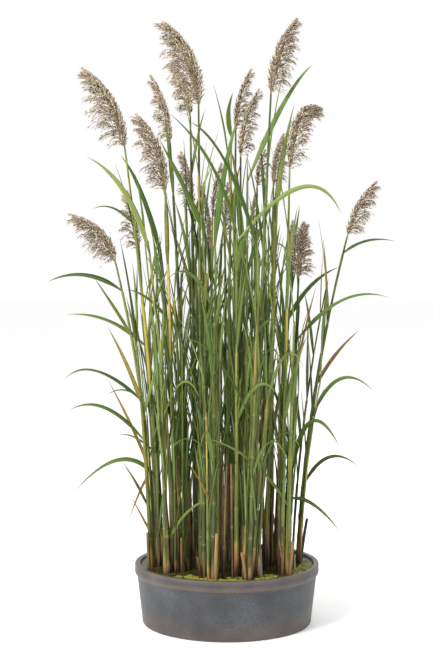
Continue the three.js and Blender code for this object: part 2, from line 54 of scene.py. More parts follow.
# The pot is a wide, low tub of dark grey stoneware with a thick rim band.
# It is thrown on a wheel, so faint rings run round it, and its matt glaze
# breaks to a warm brown where it thins over the edges of the rim and foot.
POT_FLOOR = 18
# Each corner of its section: radius, height, and how far from the corner its rounding starts
POT_CORNERS = [
    (0, 0, 0), (282, 0, 5), (300.3, 159, 4), (308, 168, 5), (308, 200, 5),
    (290, 200, 5), (269.6, POT_FLOOR, 14), (0, POT_FLOOR, 0),
]
POT_SIDES = 128
CORNER_STEPS = 6
WALL_STEPS = 2
POT_EDGES = [(308, 168), (308, 200), (290, 200), (282, 0)]
EDGE_FADE = 6
THROWING_RING_MM = 7
GLAZE_SPECKLE_MM = 3


def linear(code):
    """Linear colour of an sRGB hex code: c/12.92 up to 0.04045, above it ((c + 0.055)/1.055)^2.4."""
    channels = [int(code[at:at + 2], 16) / 255 for at in (1, 3, 5)]
    return [c / 12.92 if c <= 0.04045 else ((c + 0.055) / 1.055) ** 2.4 for c in channels] + [1.0]


class Surface:
    """A material, and the nodes of its shader. Each method adds a node and gives back its output.
    What goes into a node may be a number, a colour or the output of another node."""

    def __init__(self, name, settings):
        self.material = bpy.data.materials.new(name)
        self.material.use_nodes = True
        self.tree = self.material.node_tree
        self.fill(self.tree.nodes["Principled BSDF"], settings)
        self.place = self.add("TexCoord", output="Object")

    def fill(self, node, sockets):
        """Sets each named or numbered socket of a node, or links it."""
        for socket, value in sockets.items():
            if isinstance(value, bpy.types.NodeSocket):
                self.tree.links.new(value, node.inputs[socket])
            else:
                node.inputs[socket].default_value = value

    def add(self, kind, sockets=None, output=0, **fields):
        """A new node of any kind."""
        node = self.tree.nodes.new("ShaderNode" + kind)
        for field, value in fields.items():
            setattr(node, field, value)
        self.fill(node, sockets or {})
        return node.outputs[output]

    def marks(self, *names):
        """The numbers that the points of a piece carry under these names."""
        return [self.add("Attribute", output="Fac", attribute_name=name) for name in names]

    def noise(self, scale, detail, place=None):
        """A noise with so many blotches a metre."""
        place = self.place if place is None else place
        return self.add("TexNoise", {"Scale": scale, "Detail": detail, "Vector": place})

    def work_out(self, operation, *values):
        """The result of a sum, a product or the like."""
        return self.add("Math", dict(enumerate(values)), operation=operation)

    def spread(self, value, low, high, start=0, end=1):
        """The range from low to high made into that from start to end, and held inside it."""
        return self.add("MapRange", {
            "Value": value, "From Min": low, "From Max": high, "To Min": start, "To Max": end,
        })

    def ramp(self, value, *stops):
        """The colour at a value between stops, each of them a value and a hex code."""
        colour = self.add("ValToRGB", {"Fac": value})
        elements = colour.node.color_ramp.elements
        elements[0].position, elements[1].position = stops[0][0], stops[-1][0]
        for at, _ in stops[1:-1]:
            elements.new(at)
        for element, (_, code) in zip(elements, stops):
            element.color = linear(code)
        return colour

    def mix(self, share, under, over):
        """The colour under, with a share of the colour over it, which may be a hex code."""
        over = linear(over) if isinstance(over, str) else over
        return self.add("Mix", {0: share, 6: under, 7: over}, output=2, data_type="RGBA")

    def finish(self, colour, height=None, strength=0.0, depth=0.0):
        """Gives the shader its colour, and the relief of a height pattern that is depth metres deep."""
        links = {"Base Color": colour}
        if height is not None:
            relief = {"Strength": strength, "Distance": depth, "Height": height}
            links["Normal"] = self.add("Bump", relief)
        self.fill(self.tree.nodes["Principled BSDF"], links)


def skin(rings, ends=None):
    """Points and outward triangles of a closed skin over rings of points (ring, point, x y z).
    Each wall square between two rings is cut in two, and each end is a fan to its end point,
    or else to the middle of the end ring. Rings turn counterclockwise seen from the far end."""
    count, sides = rings.shape[:2]
    first, last = ends if ends is not None else (rings[0].mean(0), rings[-1].mean(0))
    points = np.concatenate([rings.reshape(-1, 3), [first], [last]])
    ring, side = np.meshgrid(np.arange(count - 1), np.arange(sides), indexing="ij")
    a = (ring * sides + side).ravel()
    b = (ring * sides + (side + 1) % sides).ravel()
    here = np.arange(sides)
    following = (here + 1) % sides
    top = (count - 1) * sides
    pole = np.full(sides, count * sides)
    faces = np.concatenate([
        np.stack([a, b, b + sides], 1),
        np.stack([a, b + sides, a + sides], 1),
        np.stack([following, here, pole], 1),
        np.stack([top + here, top + following, pole + 1], 1),
    ])
    return points, faces


def join(parts):
    """One set of points, faces and marks from several, each part's faces moved on past the points before."""
    offsets = np.cumsum([0] + [len(part[0]) for part in parts[:-1]])
    points = np.concatenate([part[0] for part in parts])
    faces = np.concatenate([part[1] + offset for part, offset in zip(parts, offsets)])
    marks = {name: np.concatenate([part[2][name] for part in parts]) for name in parts[0][2]}
    return points, faces, marks


def make_piece(name, points, faces, surfaces, marks=None, choice=None):
    """A mesh object in its place, from points in millimetres and triangles of point numbers,
    with a named number on each point for each mark, and a surface number for each face."""
    mesh = bpy.data.meshes.new(name)
    mesh.vertices.add(len(points))
    mesh.vertices.foreach_set("co", (np.asarray(points) / 1000).ravel())
    mesh.loops.add(3 * len(faces))
    mesh.loops.foreach_set("vertex_index", np.asarray(faces, np.int32).ravel())
    mesh.polygons.add(len(faces))
    mesh.polygons.foreach_set("loop_start", np.arange(0, 3 * len(faces), 3, dtype=np.int32))
    mesh.polygons.foreach_set("use_smooth", np.ones(len(faces), bool))
    for surface in surfaces:
        mesh.materials.append(surface.material)
    if choice is not None:
        mesh.polygons.foreach_set("material_index", np.asarray(choice, np.int32))
    for mark, values in (marks or {}).items():
        layer = mesh.attributes.new(mark, "FLOAT", "POINT")
        layer.data.foreach_set("value", np.asarray(values, np.float32))
    mesh.update(calc_edges=True)
    piece = bpy.data.objects.new(name, mesh)
    bpy.context.scene.collection.objects.link(piece)
    return piece


def rounded(corners, steps):
    """A profile of (radius, height) points, where each corner is a curve that starts and ends
    at its given distance from it: (1-t)^2 before + 2t(1-t) corner + t^2 after."""
    places = np.array([corner[:2] for corner in corners], float)
    profile = [places[0]]
    for at in range(1, len(corners) - 1):
        reach = corners[at][2]
        before = places[at - 1] - places[at]
        after = places[at + 1] - places[at]
        before = places[at] + before / np.linalg.norm(before) * reach
        after = places[at] + after / np.linalg.norm(after) * reach
        t = np.linspace(0, 1, steps)[:, None]
        profile += list((1 - t) ** 2 * before + 2 * t * (1 - t) * places[at] + t ** 2 * after)
    return np.array(profile + [places[-1]])


def denser(profile, steps):
    """The same profile with steps points on each of its stretches."""
    t = np.linspace(0, 1, steps, endpoint=False)[:, None]
    runs = [low + (high - low) * t for low, high in zip(profile[:-1], profile[1:])]
    return np.concatenate(runs + [profile[-1:]])


def even_angles(count):
    """Angles that part a circle evenly, from 0 on."""
    return np.arange(count) * 2 * np.pi / count


def turned(profile, sides):
    """Points on circles round the axis: (r cos a, r sin a, z) for each profile point and angle a."""
    angle = even_angles(sides)
    radius, height = profile[:, 0, None], profile[:, 1, None]
    return np.stack([radius * np.cos(angle), radius * np.sin(angle), height + 0 * angle], -1)


pot_profile = denser(rounded(POT_CORNERS, CORNER_STEPS), WALL_STEPS)
pot_rings = turned(pot_profile[1:-1], POT_SIDES)
pot_points, pot_faces = skin(pot_rings, ends=([0, 0, 0], [0, 0, POT_FLOOR]))
from_axis = np.hypot(pot_points[:, 0], pot_points[:, 1])
edge_distance = np.min([np.hypot(from_axis - r, pot_points[:, 2] - z) for r, z in POT_EDGES], 0)

# Matt glazed stoneware: a broad dull highlight, fine speckle, and slow clouds where the glaze is thicker
stoneware = Surface("matt_glazed_stoneware", {"Roughness": 0.5, "IOR": 1.5})
speckle, cloud = stoneware.noise(1000 / GLAZE_SPECKLE_MM, 3), stoneware.noise(9, 4)
both = stoneware.work_out("MULTIPLY", speckle, cloud)
body = stoneware.ramp(both, (0.12, "#2b2c2f"), (0.27, "#3c3e41"), (0.42, "#54575a"))
[worn] = stoneware.marks("edge")
glaze = stoneware.mix(stoneware.work_out("MULTIPLY", worn, cloud), body, "#6d5a48")
# Throwing rings run up the wall. A wave texture has 20 / 2 pi bands a metre at scale 1.
rings = stoneware.add("TexWave", {
    "Scale": 2 * math.pi * 1000 / THROWING_RING_MM / 20, "Distortion": 1.5, "Detail": 1,
    "Vector": stoneware.place,
}, output="Fac", bands_direction="Z")
stoneware.finish(glaze, stoneware.work_out("ADD", rings, speckle), strength=0.25, depth=0.0008)

pot = make_piece("pot_stoneware", pot_points, pot_faces, [stoneware],
                 {"edge": np.clip(1.5 * np.exp(-(edge_distance / EDGE_FADE) ** 2), 0, 1)})
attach(pot, "root")
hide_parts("pot")


# The mud is the soft dark silt that the roots run in. It has settled into low
# mounds between the shoots and lies wet and glossy under the water.
MUD_FLOOR, MUD_EDGE = 19, 152
MUD_CORNERS = [
    (0, MUD_FLOOR, 0), (268, MUD_FLOOR, 4), (284, 150, 2), (277, MUD_EDGE, 3), (0, MUD_EDGE, 0),
]
MUD_SIDES, MUD_RINGS = 96, 30
MOUND_HEIGHT = 3.2


def turned_body(corners, corner_steps, top_rings, sides):
    """Circles of a turned body: its outline with rounded corners, then even rings across its flat top."""
    profile = rounded(corners, corner_steps)
    across = np.linspace(profile[-2], profile[-1], top_rings)[1:-1]
    return turned(np.concatenate([profile[1:-1], across]), sides)


def settled(rings):
    """Adds mounds to the top rings: sines at two crossing pitches, fading out over 40 mm at the wall."""
    x, y, z = rings[..., 0], rings[..., 1], rings[..., 2]
    mound = np.sin(x / 23) * np.cos(y / 31) + 0.5 * np.sin(x / 9 + y / 13)
    inside = np.clip((275 - np.hypot(x, y)) / 40, 0, 1) * (z > MUD_EDGE - 6)
    return rings + np.stack([0 * x, 0 * x, MOUND_HEIGHT * mound * inside], -1)


mud_rings = settled(turned_body(MUD_CORNERS, 3, MUD_RINGS, MUD_SIDES))
mud_points, mud_faces = skin(mud_rings, ends=([0, 0, MUD_FLOOR], [0, 0, MUD_EDGE]))

# Wet silt: a dark, glossy brown with crumbs and shreds of old leaf about 4 mm across
silt = Surface("wet_pond_silt", {"Roughness": 0.35, "IOR": 1.4})
crumb = silt.noise(250, 6)
brown = silt.ramp(crumb, (0.35, "#1d160e"), (0.55, "#3a2d1c"), (0.75, "#5b4a2c"))
silt.finish(brown, crumb, strength=0.6, depth=0.002)

mud = make_piece("mud_bed", mud_points, mud_faces, [silt])
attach(mud, "root")
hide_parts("mud")


# The water stands almost to the brim, still and brown-green with pond life, so
# it mirrors the shoots at a low angle. It climbs a little where it meets the wall.
WATER_TOP, WATER_BED = 192, 160
WATER_CORNERS = [
    (0, WATER_BED, 0), (284.6, WATER_BED, 1), (288.4, 193, 0.6), (284, WATER_TOP, 4), (0, WATER_TOP, 0),
]
WATER_SIDES, WATER_RINGS = 96, 12

water_rings = turned_body(WATER_CORNERS, 5, WATER_RINGS, WATER_SIDES)
water_points, water_faces = skin(water_rings, ends=([0, 0, WATER_BED], [0, 0, WATER_TOP]))

# Murky pond water: a sharp mirror at a low angle, over clouds of silt and algae about 50 mm across
pond_water = Surface("brown_pond_water", {
    "Roughness": 0.04, "IOR": 1.333, "Specular IOR Level": 0.05, "Transmission Weight": 0.1,
})
cloudy = pond_water.ramp(pond_water.noise(20, 3), (0.35, "#34321a"), (0.65, "#4c4a24"))
# Slow ripples about 25 mm long
pond_water.finish(cloudy, pond_water.noise(40, 2), strength=0.5, depth=0.0006)

water = make_piece("pond_water", water_points, water_faces, [pond_water])
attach(water, "root")
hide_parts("water")


# The shoots: hollow green culms with a swollen ring at each joint, each joint
# wrapped in the sheath of its leaf. They are brown to purple at the water, where
# their sheaths have rotted, and every blade leaves its culm at a pale collar.
# Each row is the foot, the top and its height above the water, how early the culm
# leans (0 late, 0.5 straight), and for a flowering one its plume's tip and width.
REEDS = [
    ((-216, -40), (-333, -80, 1380), 0.25, (-471, -90, 1641), 120),
    ((-84, -150), (-93, -60, 1521), 0.4, (-216, -70, 1800), 120),
    ((-126, -60), (-189, 30, 1407), 0.3, (-255, 40, 1635), 64),
    ((-168, -110), (-201, -100, 1236), 0.3, (-294, -120, 1488), 96),
    ((-110, 150), (-117, 150, 1182), 0.4, (-156, 160, 1389), 62),
    ((-243, -10), (-366, -60, 1008), 0.05, (-516, -80, 1167), 92),
    ((-234, 60), (-297, 30, 1050), 0.3, (-333, 40, 1248), 75),
    ((20, 60), (30, 60, 1452), 0.4, (81, 60, 1656), 60),
    ((45, -60), (45, -30, 1356), 0.4, (105, -30, 1578), 66),
    ((84, -200), (141, -120, 1552), 0.3, (225, -130, 1794), 87),
    ((180, -110), (202, -120, 1305), 0.4, (306, -130, 1503), 90),
    ((150, 0), (156, 40, 1262), 0.4, (190, 50, 1440), 66),
    ((90, 120), (105, 150, 1266), 0.4, (132, 160, 1396), 50),
    ((240, 20), (402, 10, 1098), 0.15, (498, 10, 1278), 75),
    ((204, -60), (237, -40, 960), 0.3, (253, -40, 1140), 75),
    ((190, 90), (207, 100, 963), 0.3, (225, 110, 1152), 52),
    ((-60, 90), (-48, 100, 1161), 0.4, (-18, 110, 1347), 50),
    ((0, 230), (-5, 235, 1100), 0.4, (5, 240, 1289), 48),
    ((80, 205), (90, 215, 1060), 0.4, (97, 225, 1242), 45),
    ((-40, 200), (-54, 190, 1060), 0.4, (-87, 200, 1275), 48),
    ((-100, 40), (-123, 80, 1500), 0.4, (-190, 95, 1690), 70),
    ((-250, -70), (-300, -90, 783), 0.3),
    ((-165, -130), (-255, -150, 1080), 0.3),
    ((-150, 10), (-219, 20, 1040), 0.35),
    ((60, -160), (66, -100, 1278), 0.4),
    ((130, -60), (165, -40, 1190), 0.4),
    ((30, -190), (30, -150, 1113), 0.4),
    ((195, -160), (215, -170, 820), 0.4),
    ((70, -240), (102, -215, 1030), 0.4),
    ((-200, -140), (-215, -170, 760), 0.4),
    ((-45, -240), (-40, -225, 900), 0.4),
    ((-75, -210), (-69, -175, 1098), 0.4),
    ((0, 20), (15, 10, 1431), 0.4),
    ((-30, -120), (-39, -105, 1068), 0.4),
]
# Young shoots, and dry ends of old culms, that stand close by the reed numbered first
TILLERS = [
    (5, (-118, 157), (-170, 190, 980)), (18, (10, 232), (35, 250, 900)),
    (19, (88, 210), (140, 235, 950)), (20, (-48, 206), (-100, 235, 880)),
    (13, (98, 126), (160, 165, 1010)), (16, (196, 97), (250, 140, 860)),
    (7, (-238, 69), (-265, 110, 820)), (17, (-68, 96), (-105, 95, 1010)),
    (12, (159, 4), (215, 10, 930)), (8, (25, 68), (60, 120, 1050)),
    (3, (-134, -66), (-175, -45, 900)), (30, (-190, -146), (-222, -205, 620)),
    (24, (-158, 14), (-215, 85, 850)), (21, (-104, 49), (-60, 20, 1000)),
    (29, (78, -234), (150, -215, 780)),
]
STUBS = [
    (14, (248, 15), (270, 5, 150)), (31, (-38, -246), (-34, -250, 150)),
    (28, (203, -166), (212, -180, 110)), (22, (-258, -74), (-262, -85, 120)),
    (29, (60, -243), (45, -252, 90)), (32, (-83, -215), (-95, -225, 70)),
]
FOOT_RADIUS = 7.3
THIN_FOOT_RADIUS = 6.2
PLUME_CULM_RADIUS = 3
LEAFY_TOP_RADIUS = 2.4
STUB_TOP_RADIUS = 4.6
THIN_BOW = 0.4
ROOT_DEPTH = 60
CULM_SIDES = {"reed": 10, "tiller": 8, "stub": 8, "young": 6, "old": 6}
RING_STEP = 55
JOINT_SPACING = (95, 165)
SHEATH_LENGTH = 105

shoots = []
for number, (foot, top, bow, *flower) in enumerate(REEDS, 1):
    shoots.append({
        "number": number, "foot": foot, "top": top, "bow": bow, "kind": "reed",
        "radii": (FOOT_RADIUS, PLUME_CULM_RADIUS if flower else LEAFY_TOP_RADIUS),
        "tip": flower[0] if flower else None, "width": flower[1] if flower else 0,
    })
for rows, kind, end in ((TILLERS, "tiller", LEAFY_TOP_RADIUS), (STUBS, "stub", STUB_TOP_RADIUS)):
    for number, foot, top in rows:
        shoots.append({
            "number": number, "foot": foot, "top": top, "bow": THIN_BOW, "kind": kind,
            "radii": (THIN_FOOT_RADIUS, end), "tip": None, "width": 0,
        })
leafy_shoots = [shoot for shoot in shoots if shoot["kind"] != "stub"]
shoot_feet = np.array([shoot["foot"] for shoot in shoots], float)
shoot_tops = np.array([shoot["top"] for shoot in shoots], float)
shoot_bows = np.array([shoot["bow"] for shoot in shoots])
shoot_radii = np.array([shoot["radii"] for shoot in shoots])


def lean_of(share, bow):
    """How far a culm has gone over from its foot's place to its top's: 2 bow s(1-s) + s^2."""
    return 2 * bow * share * (1 - share) + share ** 2


def culm_point(shoot, height):
    """Points on a culm's centre line at heights above the water: foot + (top - foot) times its lean."""
    height = np.asarray(height, float)
    lean = lean_of(np.clip(height / shoot["top"][2], 0, 1), shoot["bow"])[..., None]
    foot, top = np.array(shoot["foot"], float), np.array(shoot["top"][:2], float)
    return np.concatenate([foot + (top - foot) * lean, (WATER_TOP + height)[..., None]], -1)


def blend(low, high, share):
    """From low at share 0 to high at share 1, in a straight line."""
    return low + (high - low) * share


def unit(vectors):
    """Each vector divided by its own length."""
    return vectors / np.maximum(np.linalg.norm(vectors, axis=-1, keepdims=True), 1e-9)


def bezier(points, share):
    """Places and unit directions on a curve over three points:
    (1-t)^2 a + 2t(1-t) b + t^2 c, and its slope 2(1-t)(b-a) + 2t(c-b)."""
    a, b, c = points
    t = np.asarray(share, float)[..., None]
    slope = (1 - t) * (b - a) + t * (c - b)
    return (1 - t) ** 2 * a + 2 * t * (1 - t) * b + t ** 2 * c, unit(slope)


# The leaves. First those that stand out of the clump, by reed: collar height, heading, knee out
# and up from the collar, tip out and up from it, blade width, and how dry the blade is.
SHOWN_LEAVES = {
    1: [(1128, 180, 72, 92, 141, 54, 9, 0), (378, 180, 75, 75, 126, 60, 8, 0.2),
        (288, 183, 109, 161, 284, -48, 17, 0)],
    2: [(1290, 215, 22, 130, 75, 268, 15, 0)],
    4: [(813, 200, 70, 99, 150, 111, 14, 0)],
    6: [(915, 180, 125, 92, 249, 29, 17, 0), (770, 178, 62, 100, 120, 187, 15, 0),
        (558, 180, 60, 50, 115, 12, 8, 0.1), (318, 180, 50, 140, 141, 306, 12, 0.6),
        (84, 180, 35, 70, 78, 147, 9, 0.8)],
    7: [(726, 178, 125, 122, 268, 108, 17, 0), (516, 180, 202, 202, 292, 96, 14, 0),
        (300, 185, 25, 10, 95, -190, 12, 1)],
    14: [(1040, 0, 76, 64, 174, 40, 13, 0), (800, 200, 0, 120, 15, 290, 18, 0.5),
         (597, 0, 56, 111, 143, 186, 17, 1), (483, 355, 85, 225, 210, 95, 15, 0),
         (258, 0, 80, 165, 192, 60, 15, 0)],
    15: [(747, 355, 152, 202, 306, 147, 17, 0), (600, 345, 30, 170, 80, 345, 13, 0.9),
         (285, 350, 49, 341, 166, 111, 22, 0), (228, 335, 79, 21, 180, -102, 14, 0.1)],
    16: [(798, 355, 67, 158, 184, 198, 17, 0)],
    22: [(743, 180, 20, 180, 56, 351, 14, 0), (543, 180, 38, 125, 112, 258, 15, 0.45),
         (423, 182, 138, 172, 250, 99, 14, 0), (198, 180, 40, 95, 88, 156, 11, 0.2)],
    23: [(1038, 180, 66, 248, 204, 312, 21, 0)],
    24: [(1008, 185, 61, 264, 139, 360, 20, 0)],
    25: [(1270, 2, 126, 311, 213, 382, 20, 0)],
    26: [(1180, 355, 15, 190, 57, 350, 21, 0)],
    27: [(1105, 190, 64, 257, 225, 384, 20, 0), (1074, 340, 255, 300, 348, 84, 21, 0)],
    28: [(216, 211, 115, 192, 287, 240, 15, 0)],
    29: [(1023, 195, 102, 371, 230, 426, 26, 0), (483, 205, 119, 280, 238, 291, 14, 0)],
    30: [(498, 335, 75, 215, 135, 75, 13, 0), (81, 330, 60, 142, 150, 165, 16, 0.15)],
    31: [(225, 200, 38, 85, 90, 162, 12, 0.7)],
    32: [(1090, 188, 60, 150, 155, 321, 23, 0)],
    33: [(1425, 180, 25, 75, -6, 150, 22, 0)],
    34: [(1060, 355, 15, 220, 78, 435, 26, 0)],
}
# The others alternate up each shoot, and swing round it to where they clear their neighbours.
SHOWN_ROLL = 55
LEAF_SEED = 20611
COLLARS = (0.3, 0.9)
COLLAR_SPACING = (190, 270)
UPRIGHT_OUT, UPRIGHT_UP, UPRIGHT_KNEE = (45, 110), (220, 330), (0.35, 0.6)
ARCHED_OUT, ARCHED_KNEE, ARCHED_DROP = (180, 260), (0.5, 0.75), 0.35
ARCHED_SHARE = 0.45
ARCHED_FROM_RADIUS = 120
SIDE_LIMIT = 0.6
RULED_WIDTH = (12, 18)
RULED_ROLL = 60
SHOWN_ZONE = 45
SPEAR_DROP = 14
SPEAR_KNEE, SPEAR_TIP, SPEAR_WIDTH, SPEAR_ROLL = (10, 160), (45, 290), 13, 40
CROWN_SHARE = 0.8
SWINGS = (0, 25, -25, 50, -50, 75, -75, 100, -100)
SHOWN_SWINGS = (0, 8, -8, 16, -16, 24, -24, 32, -32)
LEAF_SAMPLES = 30
LEAF_CLEARANCE = 2
CLEAR_FROM = 3
LEAF_WAIST = 0.2
LEAF_TAPER = 2.5

# The plumes' axes, which the leaves keep clear of, and the shape that the plumes share
PLUME_RISE = 0.55
CURLED_RISE = {11: 1.05}
ROUND_PLUMES = (15,)
NECK_SHARE = 0.015
PLUME_PROFILE = ((0, 0.12, 0.3, 0.6, 0.85, 1), (0.35, 0.8, 1, 0.78, 0.42, 0))
CORE_SAG = 0.2
PLUME_BALLS = (0.06, 0.18, 0.3, 0.42, 0.54, 0.66, 0.78, 0.9, 1)


def plume_axis(reed):
    """The plume's axis over three points: the culm's top, a point straight on from it, and the tip."""
    height = reed["top"][2]
    base = culm_point(reed, height) + [0, 0, 0.3]
    along = unit(base - culm_point(reed, (1 - NECK_SHARE) * height))
    tip = np.array(reed["tip"], float) + [0, 0, WATER_TOP]
    rise = CURLED_RISE.get(reed["number"], PLUME_RISE) * np.linalg.norm(tip - base)
    return base, base + along * rise, tip


def plume_frame(reed, share):
    """At each share of the axis: the axis point, its direction, the way that the plume droops, the way
    across it, the plume's width there, and the middle of its body, which sags off the axis."""
    axis = plume_axis(reed)
    point, along = bezier(axis, share)
    level = unit(np.array([axis[0][1] - axis[2][1], axis[2][0] - axis[0][0], 0]))
    droop = unit(np.cross(level, along))
    width = reed["width"] * np.interp(share, *PLUME_PROFILE)
    sag = CORE_SAG * width * np.minimum(1, np.asarray(share) / 0.2)
    return point, along, droop, np.cross(along, droop), width, point + droop * sag[..., None]


def even_draws(seed):
    """Even draws between 0 and 1: each state is the last one times 48271, modulo 2147483647."""
    state = seed
    while True:
        state = state * 48271 % 2147483647
        yield state / 2147483647


def leaf_curve(leaf):
    """The blade's middle line over three points: the collar in the culm, the knee and the tip."""
    heading = math.radians(leaf["heading"])
    collar = culm_point(leaf["shoot"], leaf["collar"])
    ahead = np.array([math.cos(heading), math.sin(heading), 0])
    knee, tip = (collar + out * ahead + [0, 0, up] for out, up in (leaf["knee"], leaf["tip"]))
    return collar, knee, tip


def is_clear(leaf, centers, radii):
    """Whether balls along a blade miss every other shoot, every plume and every blade already placed."""
    height = centers[:, 2, None] - WATER_TOP
    lean = lean_of(np.clip(height / shoot_tops[:, 2], 0, 1), shoot_bows)[..., None]
    culms = shoot_feet + (shoot_tops[:, :2] - shoot_feet) * lean
    gap = np.linalg.norm(culms - centers[:, None, :2], axis=-1)
    culm_radii = blend(shoot_radii[:, 0], shoot_radii[:, 1], np.clip(height / shoot_tops[:, 2], 0, 1))
    other = np.array([shoot is not leaf["shoot"] for shoot in shoots])
    beside = (height <= shoot_tops[:, 2] + radii[:, None]) & (height >= 0) & other
    if np.any(beside & (gap < radii[:, None] + culm_radii)):
        return False
    taken = np.concatenate([plume_ball_centers] + placed_centers)
    taken_radii = np.concatenate([plume_ball_radii] + placed_radii)
    gaps = np.linalg.norm(centers[:, None] - taken, axis=-1)
    return not np.any(gaps < radii[:, None] + taken_radii)


def settle(leaf, swings):
    """Turns a leaf to the first heading that is clear and keeps it, or gives it up."""
    share = np.arange(1, LEAF_SAMPLES + 1) / LEAF_SAMPLES
    half = leaf["width"] / 2 * (1 - share ** LEAF_TAPER) * np.minimum(1, share / LEAF_WAIST)
    for swing in swings:
        tried = dict(leaf, heading=leaf["heading"] + swing)
        centers = bezier(leaf_curve(tried), share)[0]
        radii = half + LEAF_CLEARANCE
        if is_clear(tried, centers[CLEAR_FROM:], radii[CLEAR_FROM:]):
            placed_centers.append(centers)
            placed_radii.append(radii)
            leaves.append(tried)
            return


def ruled_leaf(shoot, collar, heading, draws):
    """A blade beyond the shown ones: upright, or arched outward on some shoots at the front and back."""
    arches = next(draws) < ARCHED_SHARE
    share = next(draws)
    width = blend(*RULED_WIDTH, next(draws))
    roll = RULED_ROLL * (2 * next(draws) - 1)
    up = blend(*UPRIGHT_UP, next(draws))
    outward = math.atan2(shoot["top"][1], shoot["top"][0])
    is_edge = math.hypot(*shoot["foot"]) > ARCHED_FROM_RADIUS and abs(math.cos(outward)) < SIDE_LIMIT
    leaf = {"shoot": shoot, "collar": collar, "heading": heading, "width": width, "roll": roll}
    if arches and is_edge:
        out = blend(*ARCHED_OUT, share)
        knee, tip = (ARCHED_KNEE[0] * out, ARCHED_KNEE[1] * up), (out, ARCHED_DROP * up)
        return dict(leaf, heading=math.degrees(outward), knee=knee, tip=tip)
    out = blend(*UPRIGHT_OUT, share)
    return dict(leaf, knee=(UPRIGHT_KNEE[0] * out, UPRIGHT_KNEE[1] * up), tip=(out, up))


def shown_rows(shoot):
    """The rows of SHOWN_LEAVES for a numbered reed, and none for a shoot beside it."""
    return SHOWN_LEAVES.get(shoot["number"], []) if shoot["kind"] == "reed" else []


flowering = [shoot for shoot in shoots if shoot["tip"]]
ball_frames = [plume_frame(reed, np.array(PLUME_BALLS)) for reed in flowering]
plume_ball_centers = np.concatenate([middle for *_, middle in ball_frames])
plume_ball_radii = np.concatenate([8 + 0.62 * width for *_, width, middle in ball_frames])
leaves, placed_centers, placed_radii = [], [], []

for shoot in leafy_shoots:
    for collar, heading, knee_out, knee_up, tip_out, tip_up, width, dry in shown_rows(shoot):
        roll = -SHOWN_ROLL if math.cos(math.radians(heading)) < 0 else SHOWN_ROLL
        settle({"shoot": shoot, "collar": collar, "heading": heading, "knee": (knee_out, knee_up),
                "tip": (tip_out, tip_up), "width": width, "roll": roll, "dry": dry}, SHOWN_SWINGS)
draws = even_draws(LEAF_SEED)
for shoot in leafy_shoots:
    height = shoot["top"][2]
    shown = [row[0] for row in shown_rows(shoot)]
    heading = 360 * next(draws)
    collar = COLLARS[0] * height + COLLAR_SPACING[0] * next(draws)
    while collar < COLLARS[1] * height:
        leaf = ruled_leaf(shoot, collar, heading, draws)
        if all(abs(at - collar) >= SHOWN_ZONE for at in shown):
            settle(leaf, SWINGS)
        heading += 180
        collar += blend(*COLLAR_SPACING, next(draws))
    if not shoot["tip"] and not any(at > CROWN_SHARE * height for at in shown):
        settle({"shoot": shoot, "collar": height - SPEAR_DROP, "heading": heading, "knee": SPEAR_KNEE,
                "tip": SPEAR_TIP, "width": SPEAR_WIDTH, "roll": SPEAR_ROLL}, SWINGS)

# A noise texture's values lie mostly between these
NOISE = (0.35, 0.65)

# Culm skin: a waxy stem with a soft sheen and fine pale ribs, each about 2 mm wide and unbroken for a
# few centimetres. It is green above, and straw, brown and purple in uneven blotches at the foot.
culm_skin = Surface("waxy_reed_culm", {"Roughness": 0.45, "IOR": 1.45, "Specular IOR Level": 0.4})
sheath, foot, tone, joint = culm_skin.marks("sheath", "foot", "tone", "joint")
long_way = culm_skin.add("Mapping", {"Scale": (1, 1, 0.035), "Vector": culm_skin.place})
rib, blotch = culm_skin.noise(420, 3, long_way), culm_skin.noise(45, 4, long_way)
green = culm_skin.ramp(rib, (0.3, "#2f3a13"), (0.5, "#4c5c21"), (0.7, "#76843d"))
sheathed = culm_skin.mix(sheath, green, "#687235")
rot = culm_skin.work_out("ADD", foot, culm_skin.spread(blotch, *NOISE, -0.35, 0.35))
straw = culm_skin.ramp(
    rot, (0.0, "#7f8532"), (0.3, "#aa9843"), (0.55, "#b0895a"), (0.8, "#896548"), (1.0, "#483527"),
)
footed = culm_skin.mix(culm_skin.spread(rot, 0.06, 0.32), sheathed, straw)
# Some culms are bright and others dark, and each is streaked along its ribs. The tone also carries painted
# shade: it darkens towards the water, and the old culms are dark partly as dead culms and partly as painted
# shade
light = culm_skin.work_out("ADD", tone, culm_skin.spread(rib, *NOISE, -0.15, 0.15))
value = culm_skin.spread(light, 0, 1, 0.34, 1.38)
toned = culm_skin.add("HueSaturation", {"Value": value, "Color": footed})
culm_skin.finish(culm_skin.mix(joint, toned, "#959363"), rib, strength=0.4, depth=0.0006)

# Leaf blade: a tough satin blade that catches the light along its folds, with parallel veins, a pale
# midrib, a duller underside, painted highlights on its edges and on one half, and orange-brown where it is
# dry
VEIN_SPACING_MM = 1.5
blade_skin = Surface("satin_reed_blade", {"Roughness": 0.5, "IOR": 1.45, "Specular IOR Level": 0.35})
across, margin, tone, dry, under = blade_skin.marks("across", "margin", "tone", "dry", "under")
# The veins are drawn three times as coarse as the real ones, so that they show
vein_turn = blade_skin.work_out("MULTIPLY", across, 2 * math.pi / VEIN_SPACING_MM)
vein = blade_skin.work_out("COSINE", vein_turn)
veined = blade_skin.work_out("MULTIPLY_ADD", vein, 0.12, tone)
